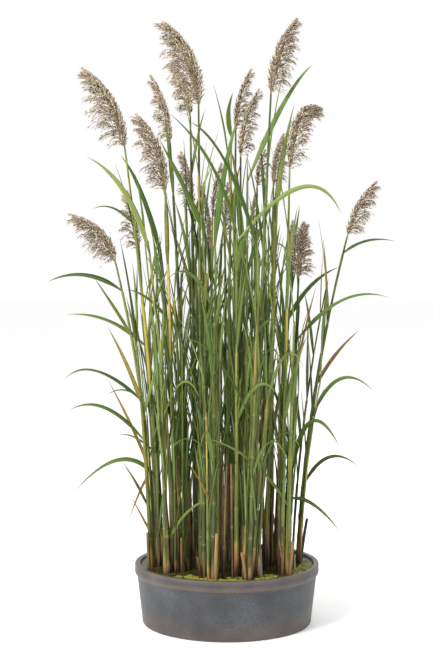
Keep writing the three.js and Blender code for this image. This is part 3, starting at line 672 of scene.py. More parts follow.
# Painted highlight: the edges are painted paler, and one half is painted lighter than the other, as if it
# caught more light
level = blade_skin.work_out("MULTIPLY_ADD", margin, 0.35, veined)
fresh = blade_skin.ramp(
    level, (0.0, "#22380f"), (0.3, "#395619"), (0.6, "#58722b"), (0.85, "#7d8d42"), (1.0, "#9ea35e"),
)
sided = blade_skin.mix(blade_skin.work_out("MULTIPLY", under, 0.55), fresh, "#6c7d40")
midrib = blade_skin.spread(blade_skin.work_out("ABSOLUTE", across), 0.3, 1, 0.6, 0)
ribbed = blade_skin.mix(midrib, sided, "#889460")
patchy = blade_skin.spread(blade_skin.noise(60, 4), *NOISE, -0.12, 0.12)
withered = blade_skin.work_out("ADD", dry, patchy)
dry_colour = blade_skin.ramp(
    withered, (0.15, "#8b8b38"), (0.45, "#9c8637"), (0.75, "#9c7733"), (1.0, "#7d5a2c"),
)
coloured = blade_skin.mix(blade_skin.spread(withered, 0.12, 0.5), ribbed, dry_colour)
blade_skin.finish(coloured, vein, strength=0.35, depth=0.0004)

REED_MARKS = ("tone", "sheath", "foot", "joint", "across", "margin", "dry", "under")
JOINT_SWELL, JOINT_BELL = 0.8, 3
LAST_JOINT = 0.94
# Extra rings of points stand this far above and below each joint and each collar.
JOINT_RINGS, COLLAR_RINGS = (-4, -1.5, 1.5, 4), (-SHEATH_LENGTH, -0.5, 0.5)
# How bright culms are, as a draw and by kind (for the old culms partly painted shade), and how much painted
# shade darkens them towards the water, and up to what height
CULM_TONES, CULM_TONE_DRAW = (0.1, 1), (0.7, 0.9)
KIND_TONE_AND_SHADE = {"old": 0.3, "stub": 0.5}
PAINTED_FOOT_SHADE, PAINTED_FOOT_SHADE_REACH = 0.35, 260
SHEATH_STEP = 0.9
FOOT_REACH, RIGHT_FOOT_REACH = (25, 110), 110
BLADE_ACROSS = np.array([1, 0.5, 0, -0.5, -1, -0.5, 0, 0.5])
BLADE_SIDE = np.array([0, 1, 1, 1, 0, -1, -1, -1])
BLADE_FOLD = 0.36
BLADE_TWIST = 14
STRAY_DRY, STRAY_DRY_SHARE = 0.3, 0.04
reed_random = np.random.default_rng(71)


def with_marks(names, points, faces, **marks):
    """Points and faces with each named mark as a number for every point, which is 0 where it isn't given."""
    return points, faces, {name: np.broadcast_to(marks.get(name, 0.0), len(points)) for name in names}


def ring_marks(values, sides):
    """One value for each ring, given to all its points and to the two end points."""
    return np.append(np.repeat(values, sides), [values[0], values[-1]])


def culm_part(shoot, collars):
    """A culm: circles on its centre line, whose radius shrinks evenly from foot to top, plus a bell
    0.8 exp(-(d/3)^2) at each joint and a step of up to 0.9 that grows over each sheath to its collar."""
    height = shoot["top"][2]
    joints = np.cumsum(reed_random.uniform(*JOINT_SPACING, int(height / JOINT_SPACING[0])))
    joints = joints[joints < LAST_JOINT * height] if shoot["kind"] != "stub" else np.zeros(0)
    steps = [np.arange(-ROOT_DEPTH, height, RING_STEP), [height]]
    steps += [joints + step for step in JOINT_RINGS] + [collars + step for step in COLLAR_RINGS]
    heights = np.unique(np.clip(np.concatenate(steps), -ROOT_DEPTH, height))
    near = np.abs(heights[:, None] - joints)
    bell = np.exp(-(near / JOINT_BELL) ** 2).sum(1)
    down = (collars - heights[:, None]) / SHEATH_LENGTH
    wrapped = (np.where((down > 0) & (down <= 1), 1 - 0.5 * down, 0)).max(1, initial=0)
    radius = blend(*shoot["radii"], np.clip(heights / height, 0, 1))
    radius = radius + JOINT_SWELL * bell + SHEATH_STEP * wrapped
    sides = CULM_SIDES[shoot["kind"]]
    angle = even_angles(sides)
    circle = np.stack([np.cos(angle), np.sin(angle), 0 * angle], -1)
    points, faces = skin(culm_point(shoot, heights)[:, None] + radius[:, None, None] * circle)
    # The straw colour reaches higher up some culms, most of all at the right of the clump.
    is_right = shoot["foot"][0] > 20
    reach = reed_random.uniform(*FOOT_REACH) + RIGHT_FOOT_REACH * reed_random.random() * is_right
    worn = {"stub": 0.75 + 0 * heights, "old": 0.9 - 0.5 * heights / height}
    worn = worn.get(shoot["kind"], 1 - heights / reach)
    # Painted shade: culms darken towards the water, and the old ones are darker still, partly as painted
    # shade
    tone = blend(*CULM_TONES, reed_random.beta(*CULM_TONE_DRAW)) - PAINTED_FOOT_SHADE * np.exp(-heights / PAINTED_FOOT_SHADE_REACH)
    tone = tone * KIND_TONE_AND_SHADE.get(shoot["kind"], 1)
    return with_marks(
        REED_MARKS, points, faces, tone=ring_marks(np.clip(tone, 0, 1), sides),
        sheath=ring_marks(0.75 * (wrapped > 0), sides), foot=ring_marks(np.clip(worn, 0, 1), sides),
        joint=ring_marks(np.clip(0.45 * bell, 0, 1), sides),
    )


def blade_part(leaf, steps):
    """A blade: at each share t of its curve a thin folded section of half width
    W/2 (1 - t^2.5)(0.35 + 0.65 min(1, t/0.2)), turned by its roll and a slow twist,
    with edges that stand above the midrib and wave gently along it."""
    t = np.linspace(0, 1, steps + 1)[:-1] ** 0.9
    t[-1] = 0.96
    curve = leaf_curve(leaf)
    middle, along = bezier(curve, t)
    heading = math.radians(leaf["heading"])
    level = np.array([-math.sin(heading), math.cos(heading), 0])
    twist, phase = reed_random.uniform(-BLADE_TWIST, BLADE_TWIST), reed_random.uniform(0, 6.28)
    roll = np.radians(leaf["roll"] + twist * np.sin(np.pi * t))[:, None]
    edge = level * np.cos(roll) + np.cross(along, level) * np.sin(roll)
    face = np.cross(along, edge)
    half = leaf["width"] / 2 * (1 - t ** LEAF_TAPER) * (0.35 + 0.65 * np.minimum(1, t / LEAF_WAIST))
    fold = BLADE_FOLD + 0.5 * np.clip(1 - t / 0.15, 0, 1)
    wave = 0.10 * np.sin(phase + 13 * t)[:, None] * np.sign(BLADE_ACROSS) * BLADE_ACROSS ** 2
    thick = np.where(BLADE_SIDE < 0, -0.5 - 0.6 * (BLADE_ACROSS == 0), 0) * (1 - 0.5 * t)[:, None]
    lift = half[:, None] * (fold[:, None] * (np.abs(BLADE_ACROSS) - 0.5) + wave) + thick
    rings = middle[:, None] + edge[:, None] * (half[:, None] * BLADE_ACROSS)[..., None]
    rings = rings + face[:, None] * lift[..., None]
    points, faces = skin(rings, ends=(curve[0], curve[2]))
    count = len(BLADE_ACROSS)
    ages = np.append(np.repeat(t, count), [0, 1])
    dry = leaf.get("dry", STRAY_DRY if reed_random.random() < STRAY_DRY_SHARE else 0)
    tip_dry = reed_random.uniform(-0.6, 0.5) * np.clip((ages - 0.75) / 0.25, 0, 1)
    return with_marks(
        REED_MARKS, points, faces, tone=np.clip(reed_random.beta(2.2, 2.8) + 0.1 * (ages < 0.08), 0, 1),
        across=np.append((half[:, None] * BLADE_ACROSS).ravel(), [0, 0]),
        # Painted highlight: paler edges and a lighter half of the blade
        margin=np.append(np.tile(BLADE_ACROSS ** 4 + 0.25 * np.sign(BLADE_ACROSS), len(t)), [0, 0]),
        dry=np.clip(dry + tip_dry, 0, 1.2), under=np.append(np.tile(BLADE_SIDE < 0, len(t)), [0, 0]),
    )


# Slender young shoots crowd the inside of the clump, each close by an older shoot on its side towards
# the middle, and dead ends of old culms stand all round. Both lean with the shoot that they stand by.
# Turns are from inward for the young and from +x for the old, and the heights of the young are shares.
CROWD = {
    "young": {"turn": (-1.8, 1.8), "offset": (13, 34), "height": (0.42, 0.9), "spread": 1.6,
              "radii": (4.4, 1.5), "apart": 10.5, "within": math.inf},
    "old": {"turn": (0, 2 * math.pi), "offset": (14, 42), "height": (110, 380), "spread": 1.3,
            "radii": (5.0, 3.4), "apart": 12, "within": 235},
}
CROWD_PER_SHOOT = 2
# Every shoot has narrow upright leaves at its joints too, and most have a dead sheath at the foot.
NARROW_SPACING = (120, 190)
NARROW_FROM, NARROW_TO = 0.2, 0.88
NARROW_OUT, NARROW_UP, NARROW_WIDTH = (25, 85), (190, 310), (8, 14)
NARROW_ZONE = 55
NARROW_SWING = 40
OUTER_RADIUS = 150
DEAD_SHARE = 0.6
DEAD_OUT, DEAD_UP, DEAD_WIDTH = (6, 26), (40, 110), (5, 9)
DEAD_COLLAR, DEAD_DRY = (8, 130), (0.6, 1.1)
YOUNG_SPEAR = {"knee": (8, 130), "tip": (32, 230), "width": 9}
# The photo shows these plumes clear of leaves.
SEEN_PLUMES = (1, 2, 4, 6, 7, 10, 11, 14, 15)

seen_frames = [
    plume_frame(reed, np.array(PLUME_BALLS)) for reed in flowering if reed["number"] in SEEN_PLUMES
]
seen_centers = np.concatenate([middle for *_, middle in seen_frames])
seen_radii = np.concatenate([6 + 0.5 * width for *_, width, middle in seen_frames])


def hides_plume(leaf):
    """Whether points along a leaf stand in front of a seen plume, within half its width and 6 mm."""
    places = bezier(leaf_curve(leaf), np.linspace(0.2, 1, 8))[0]
    gap = np.linalg.norm((places[:, None] - seen_centers)[..., [0, 2]], axis=-1)
    return bool(np.any((gap < seen_radii) & (places[:, None, 1] < seen_centers[:, 1])))


crowd = []
for kind, rule in CROWD.items():
    for host in [shoot for shoot in leafy_shoots for copy in range(CROWD_PER_SHOOT)]:
        is_young = kind == "young"
        inward = math.atan2(-host["foot"][1], -host["foot"][0]) if is_young else 0
        turn = inward + reed_random.uniform(*rule["turn"])
        offset = reed_random.uniform(*rule["offset"]) * np.array([math.cos(turn), math.sin(turn)])
        foot = np.array(host["foot"]) + offset
        height = reed_random.uniform(*rule["height"]) * (host["top"][2] if is_young else 1)
        top = culm_point(host, height)[:2] + rule["spread"] * offset
        feet = np.concatenate([shoot_feet] + [[other["foot"]] for other in crowd])
        is_free = np.linalg.norm(feet - foot, axis=1).min() > rule["apart"]
        if is_free and np.hypot(*foot) < rule["within"]:
            crowd.append({
                "number": host["number"], "foot": foot, "top": (top[0], top[1], height),
                "bow": host["bow"], "kind": kind, "radii": rule["radii"], "tip": None,
            })
for shoot in leafy_shoots + [shoot for shoot in crowd if shoot["kind"] == "young"]:
    height = shoot["top"][2]
    taken = [leaf["collar"] for leaf in leaves if leaf["shoot"] is shoot]
    heading = reed_random.uniform(0, 360)
    collar = NARROW_FROM * height + NARROW_SPACING[0] * reed_random.random()
    while collar < NARROW_TO * height:
        out, up = reed_random.uniform(*NARROW_OUT), reed_random.uniform(*NARROW_UP)
        away = math.degrees(math.atan2(shoot["foot"][1], shoot["foot"][0])) - heading
        if math.hypot(*shoot["foot"]) > OUTER_RADIUS and math.cos(math.radians(away)) > 0:
            out = out / 2
        if all(abs(at - collar) > NARROW_ZONE for at in taken):
            leaves.append({
                "shoot": shoot, "collar": collar, "heading": heading, "narrow": True,
                "roll": reed_random.uniform(-RULED_ROLL, RULED_ROLL),
                "knee": (UPRIGHT_KNEE[0] * out, UPRIGHT_KNEE[1] * up), "tip": (out, up),
                "width": reed_random.uniform(*NARROW_WIDTH),
            })
        heading += 180 + reed_random.uniform(-NARROW_SWING, NARROW_SWING)
        collar += reed_random.uniform(*NARROW_SPACING)
    if reed_random.random() < DEAD_SHARE:
        out, up = reed_random.uniform(*DEAD_OUT), reed_random.uniform(*DEAD_UP)
        leaves.append({
            "shoot": shoot, "collar": reed_random.uniform(*DEAD_COLLAR), "narrow": True,
            "heading": reed_random.uniform(0, 360), "knee": (0.7 * out, 0.5 * up), "tip": (out, up),
            "width": reed_random.uniform(*DEAD_WIDTH), "roll": reed_random.uniform(-RULED_ROLL, RULED_ROLL),
            "dry": reed_random.uniform(*DEAD_DRY),
        })
    if shoot["kind"] == "young":
        leaves.append({"shoot": shoot, "collar": height - SPEAR_DROP, "heading": heading,
                       "roll": SPEAR_ROLL, "narrow": True, **YOUNG_SPEAR})

leaves = [leaf for leaf in leaves if not (leaf.get("narrow") and hides_plume(leaf))]

BLADE_STEPS = {"long": 18, "upright": 12, "narrow": 7}
LONG_FROM = 100
for number in range(1, len(REEDS) + 1):
    parts, choice = [], []
    for shoot in [shoot for shoot in shoots + crowd if shoot["number"] == number]:
        own = [leaf for leaf in leaves if leaf["shoot"] is shoot]
        parts.append(culm_part(shoot, np.array([leaf["collar"] for leaf in own])))
        choice.append(np.zeros(len(parts[-1][1]), int))
        for leaf in own:
            form = "narrow" if leaf.get("narrow") else "long" if leaf["tip"][0] > LONG_FROM else "upright"
            parts.append(blade_part(leaf, BLADE_STEPS[form]))
            choice.append(np.ones(len(parts[-1][1]), int))
    points, faces, marks = join(parts)
    node = f"reed_{number:02d}"
    skins = [culm_skin, blade_skin]
    piece = make_piece(node + "_shoots", points, faces, skins, marks, np.concatenate(choice))
    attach(piece, "root")
    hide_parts(node)


# The plumes: one-sided flower heads. Fine branches leave the axis, climb beside it
# and nod to one side, the longest in tufts, and hundreds of small brown and cream
# spikelets hang from them, each in silky hairs that make the outline soft.
SPRAY_STEPS = (0.03, 0.9)
SPRAY_LENGTH = (0.88, 0.4)
SPRAY_SAG = (0.5, 0.05)
SPRAY_SPREAD = 100
SPRAY_COUNTS = ((60, 6), (85, 9), (1000, 14))
GOLDEN_TURN = 0.618034
# Branches, and the spikelets on each and in the whole plume (one for so many square millimetres)
BRANCHES_PER_TUFT = 7
TUFT_SPIKELETS = 14
BODY_SPIKELETS = 12
AREA_PER_SPIKELET = 4.7
# How far the body stands off its axis, in plume widths, and how much fuller than that some plumes are
BODY_REACH = (0.41, 0.21)
ROUND_REACH = 0.42
FULLNESS = {1: 0.9, 2: 1.15, 4: 1.05, 10: 1.15, 11: 1.1, 15: 1.7}
ROUND_DENSITY = FULLNESS[15] ** 1.3
ROUND_TUFTS = 0.8
# Where a long branch's knee and tip are, along the axis and out from it, in its own lengths
KNEE_ALONG, KNEE_OUT = 0.42, 0.42
TIP_ALONG, TIP_OUT = 0.72, 0.8
LEAST_CLIMB, BRANCH_CLIMB = 10, (0.32, 0.62)
# How much of a plume's length times its width its spikelets cover
PLUME_COVER = 0.65
# How loosely husks stand round a tuft's branch and a body's, in plume widths; where on a branch they
# begin; how far they stand off it, and how much less at its tip; how much they stray and hang
LOOSENESS = (0.055, 0.03)
HUSKS_FROM = 0.3
STAND_OFF, TIP_CLOSER = 0.28, 0.2
HUSK_STRAY, HUSK_HANG = 0.09, 0.06
CORE_STEPS = np.array([0.05, 0.12, 0.2, 0.3, 0.41, 0.52, 0.62, 0.72, 0.81, 0.89])
CORE_REACH, CORE_UNEVEN = 0.2, (0.85, 1.1)
CORE_SIDES = 10
# Steps along the plume's axis and along a branch, and the radii of a branch at its foot and tip
AXIS_STEPS, STALK_STEPS = 14, 5
AXIS_TIP_RADIUS, STALK_RADII = 0.6, (0.7, 0.3)
SPIKELET_LENGTH, SPIKELET_RADIUS = (7.5, 12), (1.1, 1.75)
BROWN_SHARE, BROWN_TONE, CREAM_TONE = 0.36, (-0.1, 0.3), (0.55, 1.1)
HAIR_LENGTH, HAIR_RADIUS = (10, 17), 0.17
HAIR_STRAY, HAIR_FALL = 0.35, 0.7
# How green husks are, as a draw, and how much greener over the lowest part of the plume
GREEN_DRAW, GREEN_FOOT, GREEN_REACH, MOST_GREEN = (-0.1, 0.25), 0.6, 0.12, 0.7
HAIRY_FROM, HAIRY_SHARE, HAIRIER_FROM = 0.6, 0.55, 0.85
PLUME_MARKS = ("tone", "green", "hair")
plume_random = np.random.default_rng(29)

# Husks and silk: papery husks, brown to cream, in silky hairs whose sheen makes the outline glow. A rosy
# blush comes and goes over a few centimetres, and the youngest husks at the foot of a plume are green.
flower = Surface("silky_reed_plume", {
    "Roughness": 0.75, "IOR": 1.4, "Sheen Weight": 0.35, "Sheen Roughness": 0.5,
    "Sheen Tint": linear("#e9dccb"),
})
tone, green, hair = flower.marks(*PLUME_MARKS)
husk = flower.ramp(
    tone, (0.0, "#2b2016"), (0.25, "#55422e"), (0.5, "#957f66"), (0.75, "#c3b094"), (1.0, "#e9dcc6"),
)
blushed = flower.mix(flower.spread(flower.noise(28, 2), 0.5, 0.75, 0, 0.4), husk, "#b08c7c")
young = flower.mix(green, blushed, "#828a50")
flower.finish(flower.mix(hair, young, "#bfae97"))

# A spikelet is a slender three-sided husk, pointed at both ends, and a hair a three-sided needle.
corner = np.radians([0, 120, 240])
HUSK = np.concatenate([
    [[0, 0, -0.4]], np.stack([np.cos(corner), np.sin(corner), -0.08 + 0 * corner], 1), [[0, 0, 0.6]],
])
HUSK_FACES = np.array([[0, 2, 1], [0, 3, 2], [0, 1, 3], [1, 2, 4], [2, 3, 4], [3, 1, 4]])
HUSK_TIP = np.array([0.0, 0.1, 0.1, 0.1, 1.0])
NEEDLE = np.concatenate([np.stack([np.cos(corner), np.sin(corner), 0 * corner], 1), [[0, 0, 1]]])
NEEDLE_FACES = np.array([[0, 2, 1], [0, 1, 3], [1, 2, 3], [2, 0, 3]])


def planted(shape, faces, places, ways, lengths, radii):
    """Copies of a small shape: its z goes along each way, times the length, its x and y across it, times
    the radius."""
    side = unit(np.cross(ways, plume_random.normal(size=ways.shape)))
    third = np.cross(ways, side)
    points = places[:, None] + shape[:, 0, None] * (side * radii[:, None])[:, None]
    points = points + shape[:, 1, None] * (third * radii[:, None])[:, None]
    points = points + shape[:, 2, None] * (ways * lengths[:, None])[:, None]
    count = len(shape)
    return points.reshape(-1, 3), (faces + count * np.arange(len(places))[:, None, None]).reshape(-1, 3)


def body_reach(reed, share, turn):
    """How far the plume's body stands off its axis: W(s)(0.41 + 0.21 cos a) times its fullness, or for a
    round plume 0.42 W(s) times its fullness."""
    width = reed["width"] * np.interp(share, *PLUME_PROFILE) * FULLNESS.get(reed["number"], 1)
    if reed["number"] in ROUND_PLUMES:
        return ROUND_REACH * width
    return width * (BODY_REACH[0] + BODY_REACH[1] * np.cos(turn))


def tuft_branches(reed):
    """Curves over three points of the long branches: a few set close together make a tuft, and the
    tufts stand at even shares and golden turns. They leave the body's middle, climb and nod."""
    spread = 180 if reed["number"] in ROUND_PLUMES else SPRAY_SPREAD
    tufts = next(count for width, count in SPRAY_COUNTS if reed["width"] < width)
    index = np.repeat(np.arange(tufts), BRANCHES_PER_TUFT)
    near = plume_random.normal(0, 1, (2, len(index)))
    share = np.clip(blend(*SPRAY_STEPS, (index + 0.5) / tufts) + 0.02 * near[0], 0.02, 0.94)
    turn = np.radians(spread * (2 * ((0.5 + index * GOLDEN_TURN) % 1) - 1) + 9 * near[1])[:, None]
    point, along, droop, across, width, middle = plume_frame(reed, share)
    out = droop * np.cos(turn) + across * np.sin(turn)
    size = 1 - 0.55 * plume_random.uniform(0, 1, len(index)) ** 1.2
    size = size * (ROUND_TUFTS if reed["number"] in ROUND_PLUMES else 1)
    length = (reed["width"] * blend(*SPRAY_LENGTH, share) * size)[:, None]
    closing = 1 - 0.55 * np.clip((share - 0.55) / 0.35, 0, 1)[:, None]
    knee = middle + length * (KNEE_ALONG * along + KNEE_OUT * closing * out)
    tip = middle + length * (TIP_ALONG * along + TIP_OUT * closing * out)
    tip = tip - blend(*SPRAY_SAG, share)[:, None] * length * closing * [0, 0, 1]
    return middle, 2 * knee - (middle + tip) / 2, tip


def body_branches(reed, count):
    """Curves over three points of the short branches that fill the body: each leaves the axis, climbs
    along it, and ends on the body's outside or a little within it, lower on the nodding side."""
    share = blend(0.0, 0.93, (np.arange(count) + plume_random.uniform(0, 1, count)) / count)
    turn = 2 * np.pi * np.arange(count) * GOLDEN_TURN + plume_random.normal(0, 0.2, count)
    length = np.linalg.norm(plume_axis(reed)[2] - plume_axis(reed)[0])
    start, along, droop, across, width, middle = plume_frame(reed, share)
    climb = LEAST_CLIMB + plume_random.uniform(*BRANCH_CLIMB, count) * width
    over = np.minimum(share + climb / length, 0.985)
    end, _, droop, across, width, middle = plume_frame(reed, over)
    out = droop * np.cos(turn)[:, None] + across * np.sin(turn)[:, None]
    reach = (body_reach(reed, over, turn) * plume_random.uniform(0.55, 1, count) ** 0.7)[:, None]
    nod = np.maximum(0, np.cos(turn))[:, None] * (1 - over)[:, None] * reach
    tip = end + out * reach - nod * [0, 0, 0.7]
    return start, start + along * 0.8 * climb[:, None] + 0.35 * out * reach, tip


def plume_part(reed):
    """A whole plume: a slim core, its stalks, and husks and hairs strewn along every branch."""
    base, control, tip = plume_axis(reed)
    total = PLUME_COVER * np.linalg.norm(tip - base) * reed["width"] / AREA_PER_SPIKELET
    total = total * (ROUND_DENSITY if reed["number"] in ROUND_PLUMES else 1)
    tufts = tuft_branches(reed)
    body = body_branches(reed, int(total / BODY_SPIKELETS))
    start, bend, end = (np.concatenate(pair) for pair in zip(tufts, body))
    per_branch = np.repeat([TUFT_SPIKELETS, BODY_SPIKELETS], [len(tufts[0]), len(body[0])])
    pick = np.repeat(np.arange(len(start)), per_branch)
    is_tuft = pick < len(tufts[0])
    count = len(pick)
    # Husks begin a third of the way along a branch, and nearer to the axis at the foot of the body.
    low = HUSKS_FROM * np.clip((pick - len(tufts[0])) / (0.12 * len(body[0])), 0.1, 1)
    t = blend(np.where(is_tuft, HUSKS_FROM, low), 1, plume_random.uniform(0, 1, count) ** 0.8)
    middle, way = bezier((start[pick], bend[pick], end[pick]), t)
    scatter = plume_random.normal(size=(count, 3))
    radial = unit(scatter - way * np.sum(scatter * way, 1, keepdims=True))
    loose = reed["width"] * np.where(is_tuft, *LOOSENESS) * (1 - 0.9 * t ** 1.5)
    places = middle + radial * (loose * plume_random.uniform(0, 1, count) ** 0.6)[:, None]
    # They point along the branch and stand off it, less so towards its tip.
    apart = (STAND_OFF - TIP_CLOSER * t)[:, None]
    stray = HUSK_STRAY * plume_random.normal(size=way.shape)
    ways = unit(way + apart * radial + stray - [0, 0, HUSK_HANG])
    husk_length = plume_random.uniform(*SPIKELET_LENGTH, count)
    # Nothing stands above the top of the solids.
    inside = places[:, 2] + husk_length < 1000 * cad_box[1][2]
    places, ways, husk_length = places[inside], ways[inside], husk_length[inside]
    is_tuft, t, count = is_tuft[inside], t[inside], inside.sum()
    husk_radius = plume_random.uniform(*SPIKELET_RADIUS, count) * np.where(is_tuft, 1.05 - 0.4 * t, 1)
    husks, husk_faces = planted(HUSK, HUSK_FACES, places, ways, husk_length, husk_radius)
    is_brown = plume_random.random(count) < BROWN_SHARE
    brown, cream = plume_random.uniform(*BROWN_TONE, count), plume_random.uniform(*CREAM_TONE, count)
    tone = np.where(is_brown, brown, cream)
    rise = np.linalg.norm(places - base, axis=1) / np.linalg.norm(tip - base)
    green = plume_random.normal(*GREEN_DRAW, count) + GREEN_FOOT * np.clip(1 - rise / GREEN_REACH, 0, 1)
    # Each outer spikelet has a hair that goes its way, and those of the tufts one more that hangs.
    outer = np.flatnonzero((t > HAIRY_FROM) & (plume_random.random(count) < HAIRY_SHARE))
    hanging = np.repeat(np.flatnonzero(is_tuft), 1 + (t[is_tuft] > HAIRIER_FROM))
    hair_places = np.concatenate([places[outer], places[hanging]])
    hair_ways = np.concatenate([ways[outer], 0.5 * ways[hanging] - [0, 0, HAIR_FALL]])
    hair_ways = unit(hair_ways + HAIR_STRAY * plume_random.normal(size=hair_ways.shape))
    hair_length = plume_random.uniform(*HAIR_LENGTH, len(hair_ways))
    below = hair_places[:, 2] + hair_length < 1000 * cad_box[1][2]
    hairs, hair_faces = planted(NEEDLE, NEEDLE_FACES, hair_places[below], hair_ways[below],
                                hair_length[below], np.full(below.sum(), HAIR_RADIUS))
    husk_tone = (tone[:, None] + 0.2 * (HUSK_TIP - 0.3)).ravel()
    husk_green = np.repeat(np.clip(green, 0, MOST_GREEN), len(HUSK))
    parts = [
        with_marks(PLUME_MARKS, husks, husk_faces, tone=husk_tone, green=husk_green),
        with_marks(PLUME_MARKS, hairs, hair_faces, tone=0.8, hair=1.0),
    ]
    # The core is the dense heart of the plume, a rough body inside the branches; its dark brown is painted
    # shade of the plume's inside.
    point, _, droop, across, *_ = plume_frame(reed, CORE_STEPS)
    angle = even_angles(CORE_SIDES)
    reach = CORE_REACH * body_reach(reed, CORE_STEPS[:, None], angle)
    reach = (reach * plume_random.uniform(*CORE_UNEVEN, reach.shape))[..., None]
    rings = point[:, None] + droop[:, None] * reach * np.cos(angle)[:, None]
    rings = rings + across[:, None] * reach * np.sin(angle)[:, None]
    parts.append(with_marks(PLUME_MARKS, *skin(rings, ends=(base, tip)), tone=0.34, green=0.1))
    # The axis and the branches are thin stalks that narrow towards their tips.
    stalks = [((base, control, tip), AXIS_STEPS, (PLUME_CULM_RADIUS, AXIS_TIP_RADIUS))]
    stalks += [(curve, STALK_STEPS, STALK_RADII) for curve in list(zip(*tufts))[::2]]
    turns = np.radians([0, 120, 240])[:, None]
    for curve, steps, radii in stalks:
        places, ways = bezier(curve, np.linspace(0, 0.98, steps))
        side = unit(np.cross(ways, [0.3, 0.9, 0.2]))
        ring = side[:, None] * np.cos(turns) + np.cross(ways, side)[:, None] * np.sin(turns)
        stalk = skin(places[:, None] + ring * np.linspace(*radii, steps)[:, None, None])
        parts.append(with_marks(PLUME_MARKS, *stalk, tone=0.5, green=0.6))
    return join(parts)


for reed in flowering:
    points, faces, marks = plume_part(reed)
    node = f"plume_{reed['number']:02d}"
    piece = make_piece(node + "_flower_head", points, faces, [flower], marks)
    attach(piece, "root")
    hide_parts(node)


# Duckweed: tiny floating plants of two to four fronds, each a fleshy oval that
# lies on the water. Wind has packed them round the front and the right of the pot.
MATS = {
    "duckweed_front": {"arc": (-130, -50), "radii": (212, 286), "plants": 1900},
    "duckweed_right": {"arc": (-40, 10), "radii": (243, 286), "plants": 620},
}
FROND_SIZE = (1.6, 2.6)
FROND_THICK = 0.5
FROND_SIDES = 7
CLEAR_OF_CULM = 10
BROWN_FRONDS = 0.03
duckweed_random = np.random.default_rng(5)

# Duckweed frond: a small waxy oval with a sharp glint. Each has its own age, and the whole mat is
# greener and yellower in turns of about 25 mm.
frond_skin = Surface("waxy_duckweed", {"Roughness": 0.35, "IOR": 1.45})
[tone] = frond_skin.marks("tone")
mat_tone = frond_skin.spread(frond_skin.noise(40, 2), *NOISE, -0.12, 0.08)
frond_skin.finish(frond_skin.ramp(
    frond_skin.work_out("ADD", tone, mat_tone),
    (0.0, "#55601d"), (0.35, "#858c2b"), (0.7, "#a5a838"), (0.9, "#c3c35e"), (1.0, "#9a7a3e"),
))

turn = even_angles(FROND_SIDES)
FROND = np.concatenate([
    np.stack([1 + 1.1 * np.cos(turn), 0.85 * np.sin(turn), 0 * turn], 1), [[1, 0, 1]], [[1, 0, -1]],
])
side = np.arange(FROND_SIDES)
after = (side + 1) % FROND_SIDES
FROND_FACES = np.concatenate([
    np.stack([side, after, 0 * side + FROND_SIDES], 1),
    np.stack([after, side, 0 * side + FROND_SIDES + 1], 1),
])

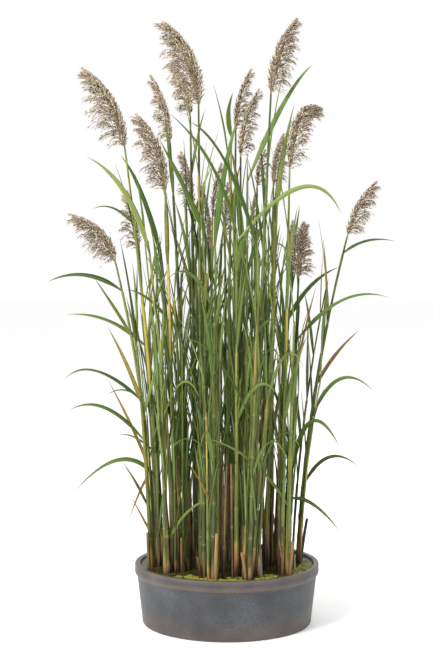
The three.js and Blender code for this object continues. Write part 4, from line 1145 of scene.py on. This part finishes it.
for node, mat in MATS.items():
    low, high = mat["radii"]
    radius = np.sqrt(duckweed_random.uniform(low ** 2, high ** 2, mat["plants"]))
    azimuth = np.radians(duckweed_random.uniform(*mat["arc"], mat["plants"]))
    plant = np.stack([radius * np.cos(azimuth), radius * np.sin(azimuth)], 1)
    # Open water shows where a slow pattern of sines is low, and round each shoot.
    patch = np.sin(plant[:, 0] / 17) + np.sin(plant[:, 1] / 11 + plant[:, 0] / 29) + np.sin(plant[:, 0] / 7)
    clear = np.linalg.norm(plant[:, None] - shoot_feet, axis=-1).min(1) > CLEAR_OF_CULM
    plant = plant[(patch > -0.9) & clear]
    fronds = duckweed_random.integers(2, 5, len(plant))
    owner = np.repeat(np.arange(len(plant)), fronds)
    count = len(owner)
    heading = duckweed_random.uniform(0, 2 * np.pi, len(plant))[owner]
    heading = heading + duckweed_random.uniform(0, 2 * np.pi, count)
    size = duckweed_random.uniform(*FROND_SIZE, count)
    flat = FROND[None, :, :2] * size[:, None, None]
    x = flat[..., 0] * np.cos(heading)[:, None] - flat[..., 1] * np.sin(heading)[:, None]
    y = flat[..., 0] * np.sin(heading)[:, None] + flat[..., 1] * np.cos(heading)[:, None]
    tilt = duckweed_random.normal(0, 0.05, (count, 2))
    rise = duckweed_random.uniform(0.3, 1.5, count)[:, None]
    z = WATER_TOP + rise + FROND[:, 2] * FROND_THICK + x * tilt[:, :1] + y * tilt[:, 1:]
    points = np.stack([x + plant[owner, 0, None], y + plant[owner, 1, None], z], -1).reshape(-1, 3)
    faces = (FROND_FACES + len(FROND) * np.arange(count)[:, None, None]).reshape(-1, 3)
    tones = np.clip(duckweed_random.beta(2.4, 2.0, count), 0, 0.92)
    tones[duckweed_random.random(count) < BROWN_FRONDS] = 1
    marks = {"tone": np.repeat(tones, len(FROND))}
    piece = make_piece(node + "_fronds", points, faces, [frond_skin], marks)
    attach(piece, "root")
    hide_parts(node)


# The studio: a pale floor that runs out of sight, soft light from all round, a
# large soft key light from the upper left, and the camera at the photograph's angle.
# Painted board: dull, with a faint unevenness about 100 mm across
floor_paint = Surface("pale_studio_floor", {"Roughness": 0.9, "Specular IOR Level": 0.1})
floor_paint.finish(floor_paint.ramp(floor_paint.noise(10, 3), (0.3, "#fdfdfc"), (0.7, "#fefefe")))

floor_mesh = bpy.data.meshes.new("studio_floor")
floor_mesh.from_pydata([(-40, -40, 0), (40, -40, 0), (40, 40, 0), (-40, 40, 0)], [], [(0, 1, 2, 3)])
floor_mesh.materials.append(floor_paint.material)
floor = bpy.data.objects.new("studio_floor", floor_mesh)
bpy.context.scene.collection.objects.link(floor)

world = bpy.data.worlds.new("soft_studio")
bpy.context.scene.world = world
world.use_nodes = True
background = world.node_tree.nodes["Background"]
background.inputs["Color"].default_value = (1, 1, 1, 1)
background.inputs["Strength"].default_value = 1.0

# Each lamp: place, size in metres and power in watts. It is turned to the middle of the plant.
LIGHTS = [
    ("key_light", (-3.0, -3.6, 4.2), 1.6, 290),
    ("back_light", (0.8, 3.6, 3.6), 2.5, 60),
]
LIGHT_AIM = (0, 0, 1.0)
for name, place, size, power in LIGHTS:
    lamp = bpy.data.lights.new(name, "AREA")
    lamp.size = size
    lamp.energy = power
    light = bpy.data.objects.new(name, lamp)
    light.location = place
    aim = np.array(LIGHT_AIM) - place
    light.rotation_euler = (math.acos(-aim[2] / np.linalg.norm(aim)), 0, math.atan2(-aim[0], aim[1]))
    bpy.context.scene.collection.objects.link(light)

CAMERA_PLACE = (-0.0345, -4.55, 1.192)
CAMERA_PITCH = -2.5
lens = bpy.data.cameras.new("camera")
lens.lens = 75.6
lens.clip_end = 200
camera = bpy.data.objects.new("camera", lens)
camera.location = CAMERA_PLACE
camera.rotation_euler = (math.radians(90 + CAMERA_PITCH), 0, 0)
bpy.context.scene.collection.objects.link(camera)
bpy.context.scene.camera = camera
bpy.context.scene.view_settings.view_transform = "Standard"
